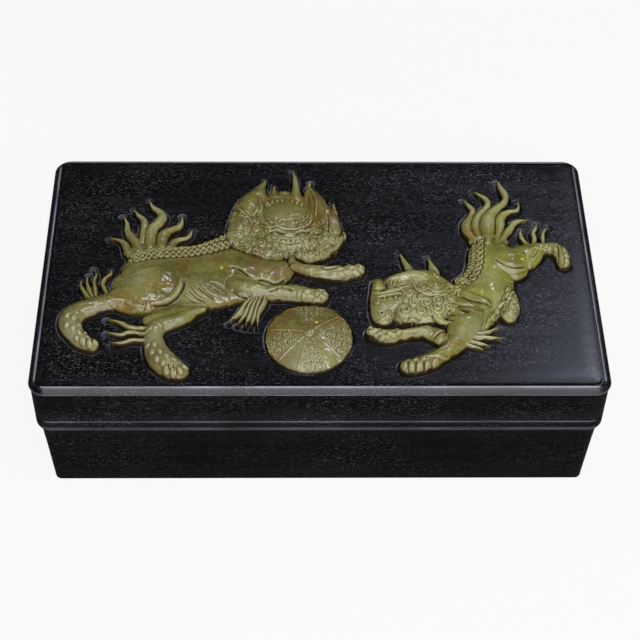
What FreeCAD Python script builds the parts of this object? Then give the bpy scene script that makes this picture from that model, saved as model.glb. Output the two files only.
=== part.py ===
import FreeCAD, Part
import Sketcher
import math
import os

# A flat hardwood box for an inkstone and a stick of ink.
# The lid lifts straight off. Its top board carries two lions and a brocade ball,
# carved in soapstone and let into the wood.
# Millimetres, +Z up, +X along the box, origin at the middle of the underside.

os.makedirs("parts", exist_ok=True)
doc = FreeCAD.newDocument("ink_stick_and_stone_box")
vec = FreeCAD.Vector
zAxis = vec(0, 0, 1)

# Driving sizes: the alias of each cell and its value.
driving = [
    # the whole box
    ("box_width", 260.0),
    ("box_depth", 148.0),
    ("corner_round", 8.0),
    ("edge_break", 0.4),
    # base walls
    ("base_height", 50.4),
    ("rim_height", 6.4),
    ("rim_inset", 0.66),
    ("cove_height", 4.6),
    ("cove_inset", 2.7),
    ("foot_inset", 4.9),
    ("wall_inset", 10.5),
    ("bottom_thickness", 6.0),
    ("bottom_rabbet", 7.4),
    # lid walls and their moulding
    ("lid_wall_height", 20.2),
    ("ovolo_width", 3.4),
    ("ovolo_rise", 2.7),
    ("groove_width", 0.7),
    ("groove_depth", 0.8),
    ("lid_fit_gap", 0.3),
    # top board
    ("panel_thickness", 6.5),
    ("panel_proud", 0.7),
    ("panel_round", 1.3),
    # lip strips that stand up inside the base
    ("lip_thickness", 3.0),
    ("lip_proud", 5.0),
    ("lip_end_gap", 0.5),
    # fitted tray
    ("tray_height", 30.0),
    ("tray_gap", 0.3),
    ("well_gap", 0.5),
    ("pad_thickness", 1.0),
    ("stone_notch_radius", 10.0),
    ("stone_notch_depth", 14.0),
    ("stick_notch_radius", 9.0),
    # inkstone
    ("stone_length", 150.0),
    ("stone_width", 100.0),
    ("stone_thickness", 28.0),
    ("stone_corner", 9.0),
    ("stone_edge", 1.5),
    ("stone_centre_x", -29.0),
    ("stone_well_depth", 21.0),
    ("stone_rim", 7.0),
    ("stone_face_drop", 2.5),
    ("pool_length", 22.0),
    ("pool_slope", 20.0),
    ("pool_depth", 9.0),
    # ink stick
    ("stick_length", 104.0),
    ("stick_width", 26.0),
    ("stick_thickness", 12.0),
    ("stick_corner", 2.5),
    ("stick_centre_x", 84.0),
    ("stick_well_depth", 8.0),
    # soapstone carvings on the lid
    ("carving_span", 234.0),
    ("inlay_depth", 1.5),
    ("inlay_gap", 0.8),
    ("inlay_relief", 1.0),
    ("ball_radius", 19.9),
    ("ball_rise", 5.5),
    ("ball_wall", 1.6),
    ("ball_centre_x", -5.0),
    ("ball_centre_y", -44.6),
    ("tip_hole_radius", 1.8),
    ("tip_hole_reach", 1.0),
]

sheet = doc.addObject("Spreadsheet::Sheet", "Sizes")
for row, (alias, value) in enumerate(driving, start=1):
    sheet.set("A%d" % row, alias)
    sheet.set("B%d" % row, str(value))
    sheet.setAlias("B%d" % row, alias)
doc.recompute()


class Dim:
    # A length that keeps its formula on the sheet beside its number.
    def __init__(self, formula, number):
        self.formula = formula
        self.number = number

    def joined(self, sign, other, number):
        return Dim("(%s %s %s)" % (self.formula, sign, formulaOf(other)), number)

    def __add__(self, other):
        return self.joined("+", other, self.number + numberOf(other))

    def __sub__(self, other):
        return self.joined("-", other, self.number - numberOf(other))

    def __mul__(self, other):
        return self.joined("*", other, self.number * numberOf(other))

    def __truediv__(self, other):
        return self.joined("/", other, self.number / numberOf(other))

    def __neg__(self):
        return Dim("(-1 * %s)" % self.formula, -self.number)


def formulaOf(value):
    return value.formula if isinstance(value, Dim) else str(value)


def numberOf(value):
    return value.number if isinstance(value, Dim) else value


def dim(alias):
    return Dim("Sizes." + alias, float(sheet.get(alias)))


# Heights and insets that several pieces share.
zero = Dim("0", 0.0)
seam = dim("base_height")
shoulder = seam + dim("lid_wall_height")
ovoloTop = shoulder + dim("ovolo_rise")
panelTop = ovoloTop + dim("panel_proud")
panelUnder = panelTop - dim("panel_thickness")
panelInset = dim("ovolo_width") + dim("groove_width")
lidInnerInset = dim("wall_inset") - dim("lid_fit_gap")
lipInnerInset = dim("wall_inset") + dim("lip_thickness")
trayTop = dim("bottom_thickness") + dim("tray_height")
stoneWellFloor = trayTop - dim("stone_well_depth")
stickWellFloor = trayTop - dim("stick_well_depth")
stoneTop = stoneWellFloor + dim("pad_thickness") + dim("stone_thickness")
halfWidth = dim("box_width") / 2
halfDepth = dim("box_depth") / 2
cornerRound = dim("corner_round")


def newBody(label):
    body = doc.addObject("PartDesign::Body", label)
    body.Label = label
    return body


def originPlane(body, role):
    return [f for f in body.Origin.OriginFeatures if f.Role == role][0]


def bulge(start, end, radius):
    # Middle point of an arc, to the left of start-end where radius is positive.
    chord = end - start
    half = chord.Length / 2
    sag = abs(radius) - math.sqrt(max(radius * radius - half * half, 0.0))
    left = vec(-chord.y, chord.x, 0).normalize()
    return (start + end) * 0.5 + left * math.copysign(sag, radius)


def addOutline(sketch, corners, arcs=None):
    # Closed outline through corners; arcs gives a radius for the edges that bend.
    arcs = arcs or {}
    points = [vec(numberOf(x), numberOf(y), 0) for x, y in corners]
    first = sketch.GeometryCount
    count = len(points)
    for i, start in enumerate(points):
        end = points[(i + 1) % count]
        if i in arcs:
            middle = bulge(start, end, numberOf(arcs[i]))
            turnsLeft = numberOf(arcs[i]) < 0
            ends = (start, middle, end) if turnsLeft else (end, middle, start)
            sketch.addGeometry(Part.Arc(*ends))
        else:
            sketch.addGeometry(Part.LineSegment(start, end))
    ends = [edgeEnds(sketch, first + i, points[i]) for i in range(count)]
    for i in range(count):
        after = (i + 1) % count
        sketch.addConstraint(Sketcher.Constraint(
            "Coincident", first + i, ends[i][1], first + after, ends[after][0]))
        for kind, value in (("DistanceX", corners[i][0]), ("DistanceY", corners[i][1])):
            index = sketch.addConstraint(Sketcher.Constraint(
                kind, -1, 1, first + i, ends[i][0], numberOf(value)))
            if isinstance(value, Dim):
                sketch.setExpression("Constraints[%d]" % index, value.formula)
    for i, radius in arcs.items():
        index = sketch.addConstraint(Sketcher.Constraint(
            "Radius", first + i, abs(numberOf(radius))))
        if isinstance(radius, Dim):
            size = -radius if radius.number < 0 else radius
            sketch.setExpression("Constraints[%d]" % index, size.formula)


def edgeEnds(sketch, index, start):
    # Sketcher numbers of an edge's two ends, the one at start first.
    near = (sketch.getPoint(index, 1) - start).Length < exact
    return (1, 2) if near else (2, 1)


def newSketch(body, name, role, offset=(0, 0, 0)):
    sketch = body.newObject("Sketcher::SketchObject", name)
    sketch.AttachmentSupport = [(originPlane(body, role), "")]
    sketch.MapMode = "FlatFace"
    for axis, value in zip("xyz", offset):
        if isinstance(value, Dim):
            sketch.setExpression("AttachmentOffset.Base." + axis, value.formula)
        elif value:
            base = sketch.AttachmentOffset.Base
            setattr(base, axis, value)
            sketch.AttachmentOffset = FreeCAD.Placement(base, FreeCAD.Rotation())
    return sketch


def setLength(feature, prop, value):
    setattr(feature, prop, numberOf(value))
    if isinstance(value, Dim):
        feature.setExpression(prop, value.formula)


def addPad(body, sketch, length, reverse=False, symmetric=False):
    pad = body.newObject("PartDesign::Pad", "Pad")
    pad.Profile = sketch
    setLength(pad, "Length", length)
    pad.Reversed = reverse
    pad.SideType = "Symmetric" if symmetric else "One side"
    return pad


def addPocket(body, sketch, length, symmetric=False):
    pocket = body.newObject("PartDesign::Pocket", "Pocket")
    pocket.Profile = sketch
    setLength(pocket, "Length", length)
    pocket.SideType = "Symmetric" if symmetric else "One side"
    return pocket


def addFillet(body, base, radius, wanted):
    # Round the edges of base that wanted(edge) picks.
    doc.recompute()
    names = ["Edge%d" % (i + 1) for i, e in enumerate(base.Shape.Edges) if wanted(e)]
    fillet = body.newObject("PartDesign::Fillet", "Fillet")
    fillet.Base = (base, names)
    setLength(fillet, "Radius", radius)
    return fillet


# How near an edge must lie to count as one of a well's corners, or as upright.
cornerTolerance = 0.1
uprightRise = 0.1
exact = 1e-6


def isUpright(edge):
    ends = edge.Vertexes
    if len(ends) != 2:
        return False
    run = ends[1].Point - ends[0].Point
    return abs(run.z) > uprightRise and math.hypot(run.x, run.y) < exact


def isAtHeight(height):
    def check(edge):
        box = edge.BoundBox
        return abs(box.ZMin - height) < exact and abs(box.ZMax - height) < exact
    return check


def rectangle(left, front, right, back):
    return [(left, front), (right, front), (right, back), (left, back)]


# The walls.

mitreAngle = 45


def wallProfile(kind, inner):
    # Corners of a wall's section: distance from the corner's axis, and height.
    def at(inset):
        return -(cornerRound - inset)

    edge = dim("edge_break")
    rim = dim("rim_inset")
    if kind == "base":
        coveTop = seam - dim("rim_height")
        return [
            (at(dim("foot_inset")), zero),
            (at(dim("bottom_rabbet")), zero),
            (at(dim("bottom_rabbet")), dim("bottom_thickness")),
            (at(inner), dim("bottom_thickness")),
            (at(inner), seam),
            (at(rim + edge), seam),
            (at(rim), seam - edge),
            (at(rim), coveTop),
            (at(dim("cove_inset")), coveTop - dim("cove_height")),
        ]
    return [
        (at(rim + edge), seam),
        (at(inner), seam),
        (at(inner), panelUnder),
        (at(panelInset), panelUnder),
        (at(panelInset), ovoloTop - dim("groove_depth")),
        (at(dim("ovolo_width")), ovoloTop - dim("groove_depth")),
        (at(dim("ovolo_width")), ovoloTop),
        (at(zero), shoulder),
        (at(rim), shoulder),
        (at(rim), seam + edge),
    ]


def wallArcs(kind):
    # The ovolo starts upright, so its radius follows from its width and rise.
    if kind == "base":
        rise = dim("cove_height")
        width = dim("cove_inset") - dim("rim_inset")
        return {7: (width * width + rise * rise) / (width * 2)}
    rise = dim("ovolo_rise")
    width = dim("ovolo_width")
    return {6: -(width * width + rise * rise) / (width * 2)}


def buildWall(label, kind, run, reach, inner, turn):
    # A mitred wall: straight run, half of each rounded corner, inner mitres.
    # run is the box's size along the wall, reach its half size across.
    body = newBody(label)
    half = run / 2
    place = (-(reach - cornerRound), 0, half - cornerRound)
    full = newSketch(body, "Section", "YZ_Plane", place)
    addOutline(full, wallProfile(kind, inner), wallArcs(kind))
    addPad(body, full, run - cornerRound * 2, reverse=True)

    # past the corner's axis the section stops, and the mitre is cut below
    outer = newSketch(body, "CornerSection", "YZ_Plane", place)
    addOutline(outer, wallProfile(kind, cornerRound), wallArcs(kind))
    corner = body.newObject("PartDesign::Revolution", "Corner")
    corner.Profile = outer
    corner.ReferenceAxis = (outer, ["V_Axis"])
    corner.Angle = mitreAngle
    other = body.newObject("PartDesign::Mirrored", "OtherCorner")
    other.Originals = [corner]
    other.MirrorPlane = (originPlane(body, "YZ_Plane"), [""])
    body.Tip = other

    mitre = newSketch(body, "Mitre", "XY_Plane", (0, 0, shoulder + dim("ovolo_rise")))
    for side in (1, -1):
        outerX = (half - cornerRound) * side
        innerX = (half - inner) * side
        innerY = -(reach - inner)
        corners = [(outerX, -(reach - cornerRound)), (outerX, innerY), (innerX, innerY)]
        addOutline(mitre, corners if side > 0 else corners[::-1])
    addPocket(body, mitre, shoulder + dim("ovolo_rise"))
    body.Placement = FreeCAD.Placement(vec(0, 0, 0), FreeCAD.Rotation(zAxis, turn))
    return body


wallSides = [
    ("front", dim("box_width"), halfDepth, 0),
    ("right", dim("box_depth"), halfWidth, 90),
    ("back", dim("box_width"), halfDepth, 180),
    ("left", dim("box_depth"), halfWidth, 270),
]


def buildLipStrip(label, run, reach, turn):
    # Mitred strip against the wall's inner face, standing proud of the rim.
    body = newBody(label)
    outerX = run / 2 - dim("wall_inset") - dim("lip_end_gap")
    innerX = outerX - dim("lip_thickness")
    outerY = -(reach - dim("wall_inset"))
    innerY = outerY + dim("lip_thickness")
    plan = newSketch(body, "Plan", "XY_Plane", (0, 0, dim("bottom_thickness")))
    addOutline(plan, [(-outerX, outerY), (outerX, outerY), (innerX, innerY), (-innerX, innerY)])
    addPad(body, plan, seam + dim("lip_proud") - dim("bottom_thickness"))
    body.Placement = FreeCAD.Placement(vec(0, 0, 0), FreeCAD.Rotation(zAxis, turn))
    return body


def buildBoard(label, inset, floor, thickness):
    # Flat board with corners rounded to follow the walls' corners.
    body = newBody(label)
    x = halfWidth - inset
    y = halfDepth - inset
    plan = newSketch(body, "Plan", "XY_Plane", (0, 0, floor))
    addOutline(plan, rectangle(-x, -y, x, y))
    pad = addPad(body, plan, thickness)
    addFillet(body, pad, cornerRound - inset, isUpright)
    return body


# The tray and its contents.

def buildTray():
    body = newBody("tray")
    x = halfWidth - lipInnerInset - dim("tray_gap")
    y = halfDepth - lipInnerInset - dim("tray_gap")
    plan = newSketch(body, "Plan", "XY_Plane", (0, 0, dim("bottom_thickness")))
    addOutline(plan, rectangle(-x, -y, x, y))
    addPad(body, plan, dim("tray_height"))

    top = (0, 0, trayTop)
    stone = newSketch(body, "StoneWell", "XY_Plane", top)
    gap = dim("well_gap")
    addOutline(stone, wellOutline("stone", gap))
    well = addPocket(body, stone, dim("stone_well_depth"))
    middle = numberOf(dim("stone_centre_x"))
    reach = numberOf(reachAlongX("stone") + gap) + cornerTolerance
    addFillet(body, well, dim("stone_corner") + gap,
              lambda e: isUpright(e) and abs(e.BoundBox.XMin - middle) < reach)

    stick = newSketch(body, "StickWell", "XY_Plane", top)
    addOutline(stick, wellOutline("stick", gap))
    addPocket(body, stick, dim("stick_well_depth"))

    for thing, depth in (("stone", dim("stone_notch_depth")), ("stick", dim("stick_well_depth"))):
        notches = newSketch(body, thing.capitalize() + "Notches", "XY_Plane", top)
        for side in (-1, 1):
            middle = dim(thing + "_centre_x") + reachAlongX(thing) * side
            addCircle(notches, middle, dim(thing + "_notch_radius"))
        addPocket(body, notches, depth)
    return body


def reachAlongX(thing):
    # The stone lies along the box and the stick lies across it.
    return dim("stone_length") / 2 if thing == "stone" else dim("stick_width") / 2


def reachAlongY(thing):
    return dim("stone_width") / 2 if thing == "stone" else dim("stick_length") / 2


def wellOutline(thing, gap):
    x = reachAlongX(thing) + gap
    y = reachAlongY(thing) + gap
    middle = dim(thing + "_centre_x")
    return rectangle(middle - x, -y, middle + x, y)


def addCircle(sketch, centreX, radius):
    index = sketch.addGeometry(Part.Circle(vec(centreX.number, 0, 0), zAxis, radius.number))
    across = sketch.addConstraint(Sketcher.Constraint("DistanceX", -1, 1, index, 3, centreX.number))
    sketch.setExpression("Constraints[%d]" % across, centreX.formula)
    sketch.addConstraint(Sketcher.Constraint("PointOnObject", index, 3, -1))
    wide = sketch.addConstraint(Sketcher.Constraint("Radius", index, radius.number))
    sketch.setExpression("Constraints[%d]" % wide, radius.formula)


def buildPad(label, thing, floor):
    # Thin silk-covered pad on the floor of a well.
    body = newBody(label)
    plan = newSketch(body, "Plan", "XY_Plane", (0, 0, floor))
    addOutline(plan, wellOutline(thing, 0))
    pad = addPad(body, plan, dim("pad_thickness"))
    if thing == "stone":
        addFillet(body, pad, dim("stone_corner"), isUpright)
    return body


def buildInkstone():
    body = newBody("inkstone")
    floor = stoneWellFloor + dim("pad_thickness")
    plan = newSketch(body, "Plan", "XY_Plane", (0, 0, floor))
    addOutline(plan, wellOutline("stone", 0))
    block = addPad(body, plan, dim("stone_thickness"))
    rounded = addFillet(body, block, dim("stone_corner"), isUpright)
    addFillet(body, rounded, dim("stone_edge"), isAtHeight(stoneTop.number))
    doc.recompute()

    # side view of the grinding face, its slope and the ink pool
    left = dim("stone_centre_x") - dim("stone_length") / 2 + dim("stone_rim")
    right = dim("stone_centre_x") + dim("stone_length") / 2 - dim("stone_rim")
    poolEnd = left + dim("pool_length")
    face = stoneTop - dim("stone_face_drop")
    deep = stoneTop - dim("pool_depth")
    above = stoneTop + dim("stone_edge")
    side = newSketch(body, "GrindingFace", "XZ_Plane")
    addOutline(side, [(left, deep), (poolEnd, deep), (poolEnd + dim("pool_slope"), face),
                      (right, face), (right, above), (left, above)])
    addPocket(body, side, dim("stone_width") - dim("stone_rim") * 2, symmetric=True)
    return body


def buildInkStick():
    body = newBody("ink_stick")
    plan = newSketch(body, "Plan", "XY_Plane", (0, 0, stickWellFloor + dim("pad_thickness")))
    addOutline(plan, wellOutline("stick", 0))
    block = addPad(body, plan, dim("stick_thickness"))
    addFillet(body, block, dim("stick_corner"), lambda e: True)
    return body


# The stone carvings.
# Each stone is a set of strokes: a relief height and stations along the stroke,
# each station x, y and half width, from the middle of the lid. Strokes that end
# in a point have a small half width there. Stones are listed from the topmost
# down, and each is cut back by those before it.

stones = {
    "large_lion_head": (0, -1.5, [
        (7.4, [(-16, 15.5, 9), (-16, 22, 17), (-16.5, 29.5, 19), (-16, 36, 13.6)]),
        (5.6, [(-30, 13.5, 5), (-22, 13, 6.5), (-17, 12, 5.5)]),
        (5.6, [(-10, 13.5, 6), (-4, 13.5, 6), (0, 14, 6)]),
        (6.0, [(-33, 11.5, 4), (-36.6, 17, 6.8), (-37, 25, 6.8), (-36, 33, 6), (-33.5, 40.5, 6),
               (-31, 45.8, 4.6)]),
        (6.0, [(-1, 9.5, 4), (3, 13.5, 6), (5.2, 20, 6.2), (5.2, 27, 5.2), (3, 34, 5), (-0.5, 40, 5)]),
        (4.6, [(-33, 10, 3.2), (-26, 7.4, 3.8), (-20, 6.2, 3.8)]),
        (4.6, [(-8.5, 7, 3.4), (-4, 5.8, 3.8), (1, 7, 3.6), (4.5, 10, 3.4)]),
        (3.4, [(12, 21.6, 1), (12, 19, 1.6), (9.4, 15, 2.2), (7, 10.6, 2.4), (3.4, 7, 2.4)]),
        (3.6, [(-25.8, 57.4, 0.4), (-26.4, 54.6, 1.4), (-28, 51.4, 2.6), (-28.6, 47, 4)]),
        (3.0, [(-21.2, 53.4, 0.4), (-21.4, 50.8, 1.2), (-21.6, 47, 2.4), (-21.6, 43, 2.6)]),
        (4.2, [(-12.4, 63, 0.4), (-11.4, 58.6, 1.4), (-10.8, 53, 2), (-10.9, 48.4, 2.7),
               (-11, 43, 4.2)]),
        (4.0, [(-3.7, 55.4, 0.4), (-4.4, 51.4, 1.8), (-3.4, 47, 3.8), (-1.4, 42, 5.4)]),
        (3.6, [(7.2, 41, 0.4), (7.6, 37.4, 1.4), (7.4, 32, 2.6), (7, 26, 3.6)]),
    ]),
    "large_lion_near_foreleg": (0, -1.0, [
        (6.2, [(-39, -13.5, 4.6), (-34, -15.2, 5.4), (-28, -16.6, 5), (-20, -17, 4.7), (-12, -17, 5.2),
               (-5, -18.6, 4.7), (0.2, -19.8, 4.3)]),
        (3.6, [(-30.5, -20, 1.8), (-34, -24, 1.9), (-36.4, -29, 1.9), (-41, -34.2, 0.4)]),
        (3.4, [(-29.5, -20, 1.8), (-32.4, -25, 1.8), (-34, -30, 1.7), (-37.2, -35.4, 0.4)]),
        (3.6, [(-28.4, -20, 1.8), (-30.4, -25, 1.8), (-32, -31, 1.7), (-34, -36.4, 0.4)]),
        (3.4, [(-27, -20, 1.8), (-28.6, -25, 1.7), (-29.8, -31, 1.6), (-31.4, -36.8, 0.4)]),
        (3.6, [(-25, -19, 1.8), (-25.8, -24, 1.8), (-28, -29, 1.6), (-28.4, -36.8, 0.4)]),
    ]),
    "large_lion_far_foreleg": (0, -1.0, [
        (4.6, [(-12, -1, 2.4), (-6, -2.5, 3.8), (2, -4, 4.5), (9, -4.8, 4.8), (17.5, -3.3, 4.2)]),
        (3.6, [(-12.6, 5.4, 1.8), (-12.4, 2, 2.4), (-9, -0.6, 3)]),
    ]),
    "large_lion_body": (0, -1.0, [
        (6.2, [(-85, -3, 7.6), (-78, -5, 12.8), (-69, -7, 15.5), (-60, -8.3, 18), (-52, -7.6, 18.4),
               (-44, -6, 17.8), (-38, -5.5, 16.5)]),
        (6.8, [(-77, -8.5, 12), (-80, -14, 16), (-84, -17.5, 12.5), (-91, -20, 7.5)]),
        (5.6, [(-40, -3, 8), (-30, -4.2, 9), (-21, -4.4, 8.4), (-17.8, -3.2, 5.4)]),
        (4.8, [(-87.4, 3, 2.6), (-80, 6.2, 3), (-70, 7.6, 3.2), (-60, 8, 3.6), (-52, 10.4, 4),
               (-46, 14, 4), (-42, 17, 4)]),
    ]),
    "large_lion_near_hind_leg": (0, -0.6, [
        (4.8, [(-90, -19.5, 7), (-98, -22.5, 5.4), (-105, -25.5, 5.4), (-112, -30, 6.2),
               (-113.5, -36, 5.6), (-110.6, -42, 4.8), (-106.6, -46.4, 4.4), (-102.8, -48.6, 3.7)]),
        (2.8, [(-110.5, -9.5, 0.4), (-110.3, -13, 1.1), (-108, -17.5, 1.4), (-105.5, -21, 1.4)]),
        (2.8, [(-107.5, -6.5, 0.4), (-107.8, -10, 1), (-106.5, -15, 1.4), (-104.5, -20, 1.4)]),
        (2.8, [(-105, -2.5, 0.4), (-103.8, -6, 0.9), (-104.5, -10, 1.2), (-103.6, -15, 1.4),
               (-103, -19, 1.3)]),
        (2.8, [(-97, -2.5, 0.4), (-97, -5.5, 1), (-99.5, -8.5, 1.2), (-100.5, -11.5, 1.4),
               (-99.5, -14.5, 1.4), (-98, -18, 1.4)]),
    ]),
    "large_lion_far_hind_leg": (0, -0.8, [
        (4.8, [(-53, -27.4, 1.4), (-58, -29.8, 2.6), (-62, -32.5, 3.6), (-68, -34.8, 4.4),
               (-74, -38, 5), (-75.3, -43.5, 4.8), (-74, -50, 5.6), (-71.2, -56, 6.6),
               (-66.4, -61.2, 6.2), (-62.8, -63.4, 4.7)]),
        (3.2, [(-54, -26, 3), (-62, -28, 4.6), (-70, -30, 5), (-77, -33.4, 4)]),
        (2.8, [(-79, -38.5, 1.5), (-86, -38, 1.5), (-90, -35.5, 1.4), (-96.5, -33, 0.4)]),
        (2.8, [(-77, -42.5, 1.5), (-86, -40.8, 1.4), (-90, -42.3, 1.3), (-96, -41, 0.4)]),
        (2.8, [(-77, -46, 1.5), (-85, -45.5, 1.4), (-89, -47, 1.2), (-93.5, -47, 0.4)]),
    ]),
    "large_lion_tail": (0, -1.5, [
        (2.6, [(-89.5, 9.5, 3), (-84, 11, 3.4), (-77, 11.5, 3.6), (-70, 11.5, 3.2)]),
        (2.8, [(-98.5, 18.3, 0.4), (-94.5, 17, 1), (-91.8, 14.7, 1.7), (-90.5, 11, 1.6),
               (-88, 5, 1.6)]),
        (3.0, [(-93.6, 32.7, 0.4), (-91.6, 28, 1.1), (-91, 23, 1.6), (-88.5, 18.5, 2.2),
               (-86, 14.5, 2.4), (-85, 5, 2.2)]),
        (3.0, [(-88.6, 37.2, 0.4), (-87, 34, 1), (-84.4, 31.2, 1.6), (-83.2, 28, 1.9),
               (-83.3, 24, 1.8), (-83.8, 16, 1.6)]),
        (3.6, [(-81.8, 43.2, 0.4), (-80, 38.8, 1.2), (-77, 36, 1.8), (-75, 32.5, 2.6),
               (-76.5, 28.3, 2.8), (-79, 24.5, 2.8), (-80, 19.5, 2.6), (-79.4, 6, 2.6)]),
        (3.2, [(-65.5, 32.8, 0.4), (-65.4, 29, 1.1), (-66.5, 25.9, 1.8), (-69.5, 24, 1.9),
               (-73, 21.7, 2.4), (-74.4, 17, 2.5), (-74, 5, 2.2)]),
        (2.8, [(-60.4, 23.8, 0.4), (-61.2, 20, 1), (-63.5, 18, 1.3), (-66.8, 17, 1.8), (-69.6, 14, 2),
               (-70.5, 5, 1.8)]),
    ]),
    "small_lion_head": (0, -1.5, [
        (7.0, [(31, -21, 7.5), (39, -20, 12), (47, -18.5, 13), (54, -17.5, 9.5)]),
        (6.0, [(27.4, -10.4, 3.2), (27.2, -20, 4.2), (28.4, -29, 5.4), (29, -32, 4.6)]),
        (5.0, [(33, -10, 3.2), (41, -7.5, 4.5), (49, -7, 5), (55, -10, 4.5), (60, -14, 3.2)]),
        (5.5, [(38, -31, 4.6), (46, -30, 5.6), (54, -28, 6), (61, -23, 4.6)]),
        (3.2, [(38.3, 8, 0.4), (39.8, 4, 1.4), (42.2, -2, 2.4), (44, -7, 3)]),
        (3.2, [(51.3, 5.4, 0.4), (52.6, 1.6, 1.5), (53.6, -3, 2.8), (53.4, -8, 3.4)]),
        (3.6, [(60, -13, 2.8), (66, -18.5, 2.8), (71, -21.5, 2.4), (76, -23.5, 1.7),
               (78.3, -26.5, 0.4)]),
        (3.6, [(59, -19, 2.8), (64, -24.5, 2.8), (69, -26.5, 2), (73.5, -28.5, 0.4)]),
        (3.4, [(57, -24, 2.6), (60.5, -29, 2.6), (63.8, -31.6, 1.8), (67.5, -32, 0.4)]),
        (3.4, [(51, -29, 2.6), (55, -33.5, 2.4), (60.5, -36, 0.4)]),
    ]),
    "small_lion_near_foreleg": (0, -0.8, [
        (6.0, [(67, -30, 8.5), (65, -40, 7.8), (61, -47.4, 5.2), (55.2, -53.2, 4.2), (48.5, -58, 4.7),
               (42, -60.4, 4.5), (38.8, -60.8, 4)]),
        (3.0, [(68, -42, 1.5), (74, -41.5, 1.5), (81, -38.5, 0.4)]),
        (3.0, [(68, -44, 1.5), (75, -44, 1.5), (82, -44.5, 0.4)]),
        (3.0, [(66, -46, 1.5), (71, -47.2, 1.4), (76.5, -49.2, 0.4)]),
        (3.0, [(64, -47.5, 1.5), (69, -49.3, 1.2), (73.2, -51, 0.4)]),
    ]),
    "small_lion_far_foreleg": (0, -0.8, [
        (4.4, [(23.6, -41.2, 3.1), (30, -43.6, 3.9), (36, -42.5, 3.4), (42, -41.2, 3.2),
               (49, -40, 3.4)]),
        (4.0, [(47, -41, 3), (52, -42, 4.2), (54.4, -44.2, 4.2)]),
    ]),
    "small_lion_body": (0, -1.0, [
        (6.2, [(79, 12, 6.5), (79.5, 5, 9.5), (80, -4, 11), (78.5, -13, 12), (74.5, -22, 12),
               (70, -29, 11.5), (67, -34, 10)]),
        (6.8, [(84, 8, 8.5), (87.5, 3, 9.5), (90.5, -1, 8)]),
        (5.0, [(87, -18, 4), (88, -25, 4.6), (86.6, -31, 4.3)]),
        (5.0, [(74.4, 10, 3.4), (73.4, 2, 3.6), (71, -6, 4), (66.4, -10.4, 4)]),
    ]),
    "small_lion_hind_leg": (0, -0.8, [
        (4.8, [(91, 3, 9), (97, 6, 8), (102.5, 10, 5.2), (108, 11.2, 3.7), (112.4, 10.6, 4.2),
               (115, 6, 3.7), (115.2, 1, 3.2)]),
        (2.8, [(96.8, 22.5, 0.4), (96.4, 20, 1.2), (97, 17, 1.3), (99, 13, 1.3)]),
        (2.8, [(104.8, 27, 0.4), (103.8, 23.8, 1.1), (102.5, 21, 1.3), (102.8, 17.5, 1.5),
               (102, 13, 1.5)]),
        (2.8, [(109.8, 25, 0.4), (108.2, 22.5, 0.9), (107, 19.8, 1.2), (106.6, 13, 1.3)]),
    ]),
    "small_lion_tail": (0, -1.5, [
        (2.6, [(74, 17, 3), (78.5, 19.5, 3.4), (84, 18.5, 3.2), (88, 16, 2.6)]),
        (3.0, [(71, 43, 0.4), (73.2, 39.8, 1.2), (74.6, 36.6, 1.6), (73, 32.3, 1.6), (71, 28, 1.9),
               (70.6, 23.5, 2), (72.3, 19.5, 1.8), (76, 15, 1.8)]),
        (3.2, [(76.4, 49.3, 0.4), (78.6, 47, 1.2), (81.4, 44.3, 1.8), (82.2, 40.8, 1.8),
               (80, 36.7, 1.8), (76.8, 33, 1.8), (74.9, 28, 1.8), (75, 22, 2), (77, 13, 2)]),
        (3.8, [(88.1, 55.8, 0.4), (89.2, 52.3, 1.4), (90.9, 48.3, 1.9), (91, 44, 1.8), (89, 40.3, 1.9),
               (85.6, 37, 2.3), (82.6, 33, 3.2), (81, 28, 4), (80.2, 20, 4), (80, 13, 3)]),
        (3.2, [(97, 42.5, 0.4), (97, 39, 0.9), (95.6, 36.5, 1.2), (92, 35.4, 1.7), (88.8, 33.5, 2),
               (87.6, 30, 2.1), (87.5, 26, 2), (86.4, 21, 2), (84, 14, 2)]),
        (3.0, [(100.3, 30, 0.4), (96.8, 29.8, 0.9), (94, 28.2, 1.5), (92.2, 24.8, 1.7),
               (90, 21.3, 1.8), (85, 13, 1.8)]),
    ]),
}

# The span the stations are given for, the half width of a point, and how a
# stroke's round end, its arched back and its upright sides are shared out.
drawnSpan = 234.0
pointWidth = 0.5
capSteps = (0.55, 0.86)
leastCrest = 0.4
wallShare = 0.36
cutMargin = 3.0
scale = numberOf(dim("carving_span")) / drawnSpan
stoneFloor = numberOf(panelTop - dim("inlay_depth"))


def stations(points, grow):
    # Scaled stations with their direction, and round ends where a stroke is blunt.
    spots = [(vec(x * scale, y * scale, 0), w * scale) for x, y, w in points]
    result = []
    last = len(spots) - 1
    for i, (spot, width) in enumerate(spots):
        before = spots[max(i - 1, 0)][0]
        after = spots[min(i + 1, last)][0]
        along = (after - before).normalize()
        result.append((spot, width, along))
    first = result[0]
    final = result[-1]
    ends = []
    for spot, width, along in (first, final):
        cap = []
        if width > pointWidth * scale:
            for share in capSteps:
                cap.append((share * width, width * math.sqrt(1 - share * share)))
        ends.append(cap)
    head = [(first[0] - first[2] * back, width, first[2]) for back, width in reversed(ends[0])]
    tail = [(final[0] + final[2] * on, width, final[2]) for on, width in ends[1]]
    return [(spot, width + grow, along) for spot, width, along in head + result + tail]


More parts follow.
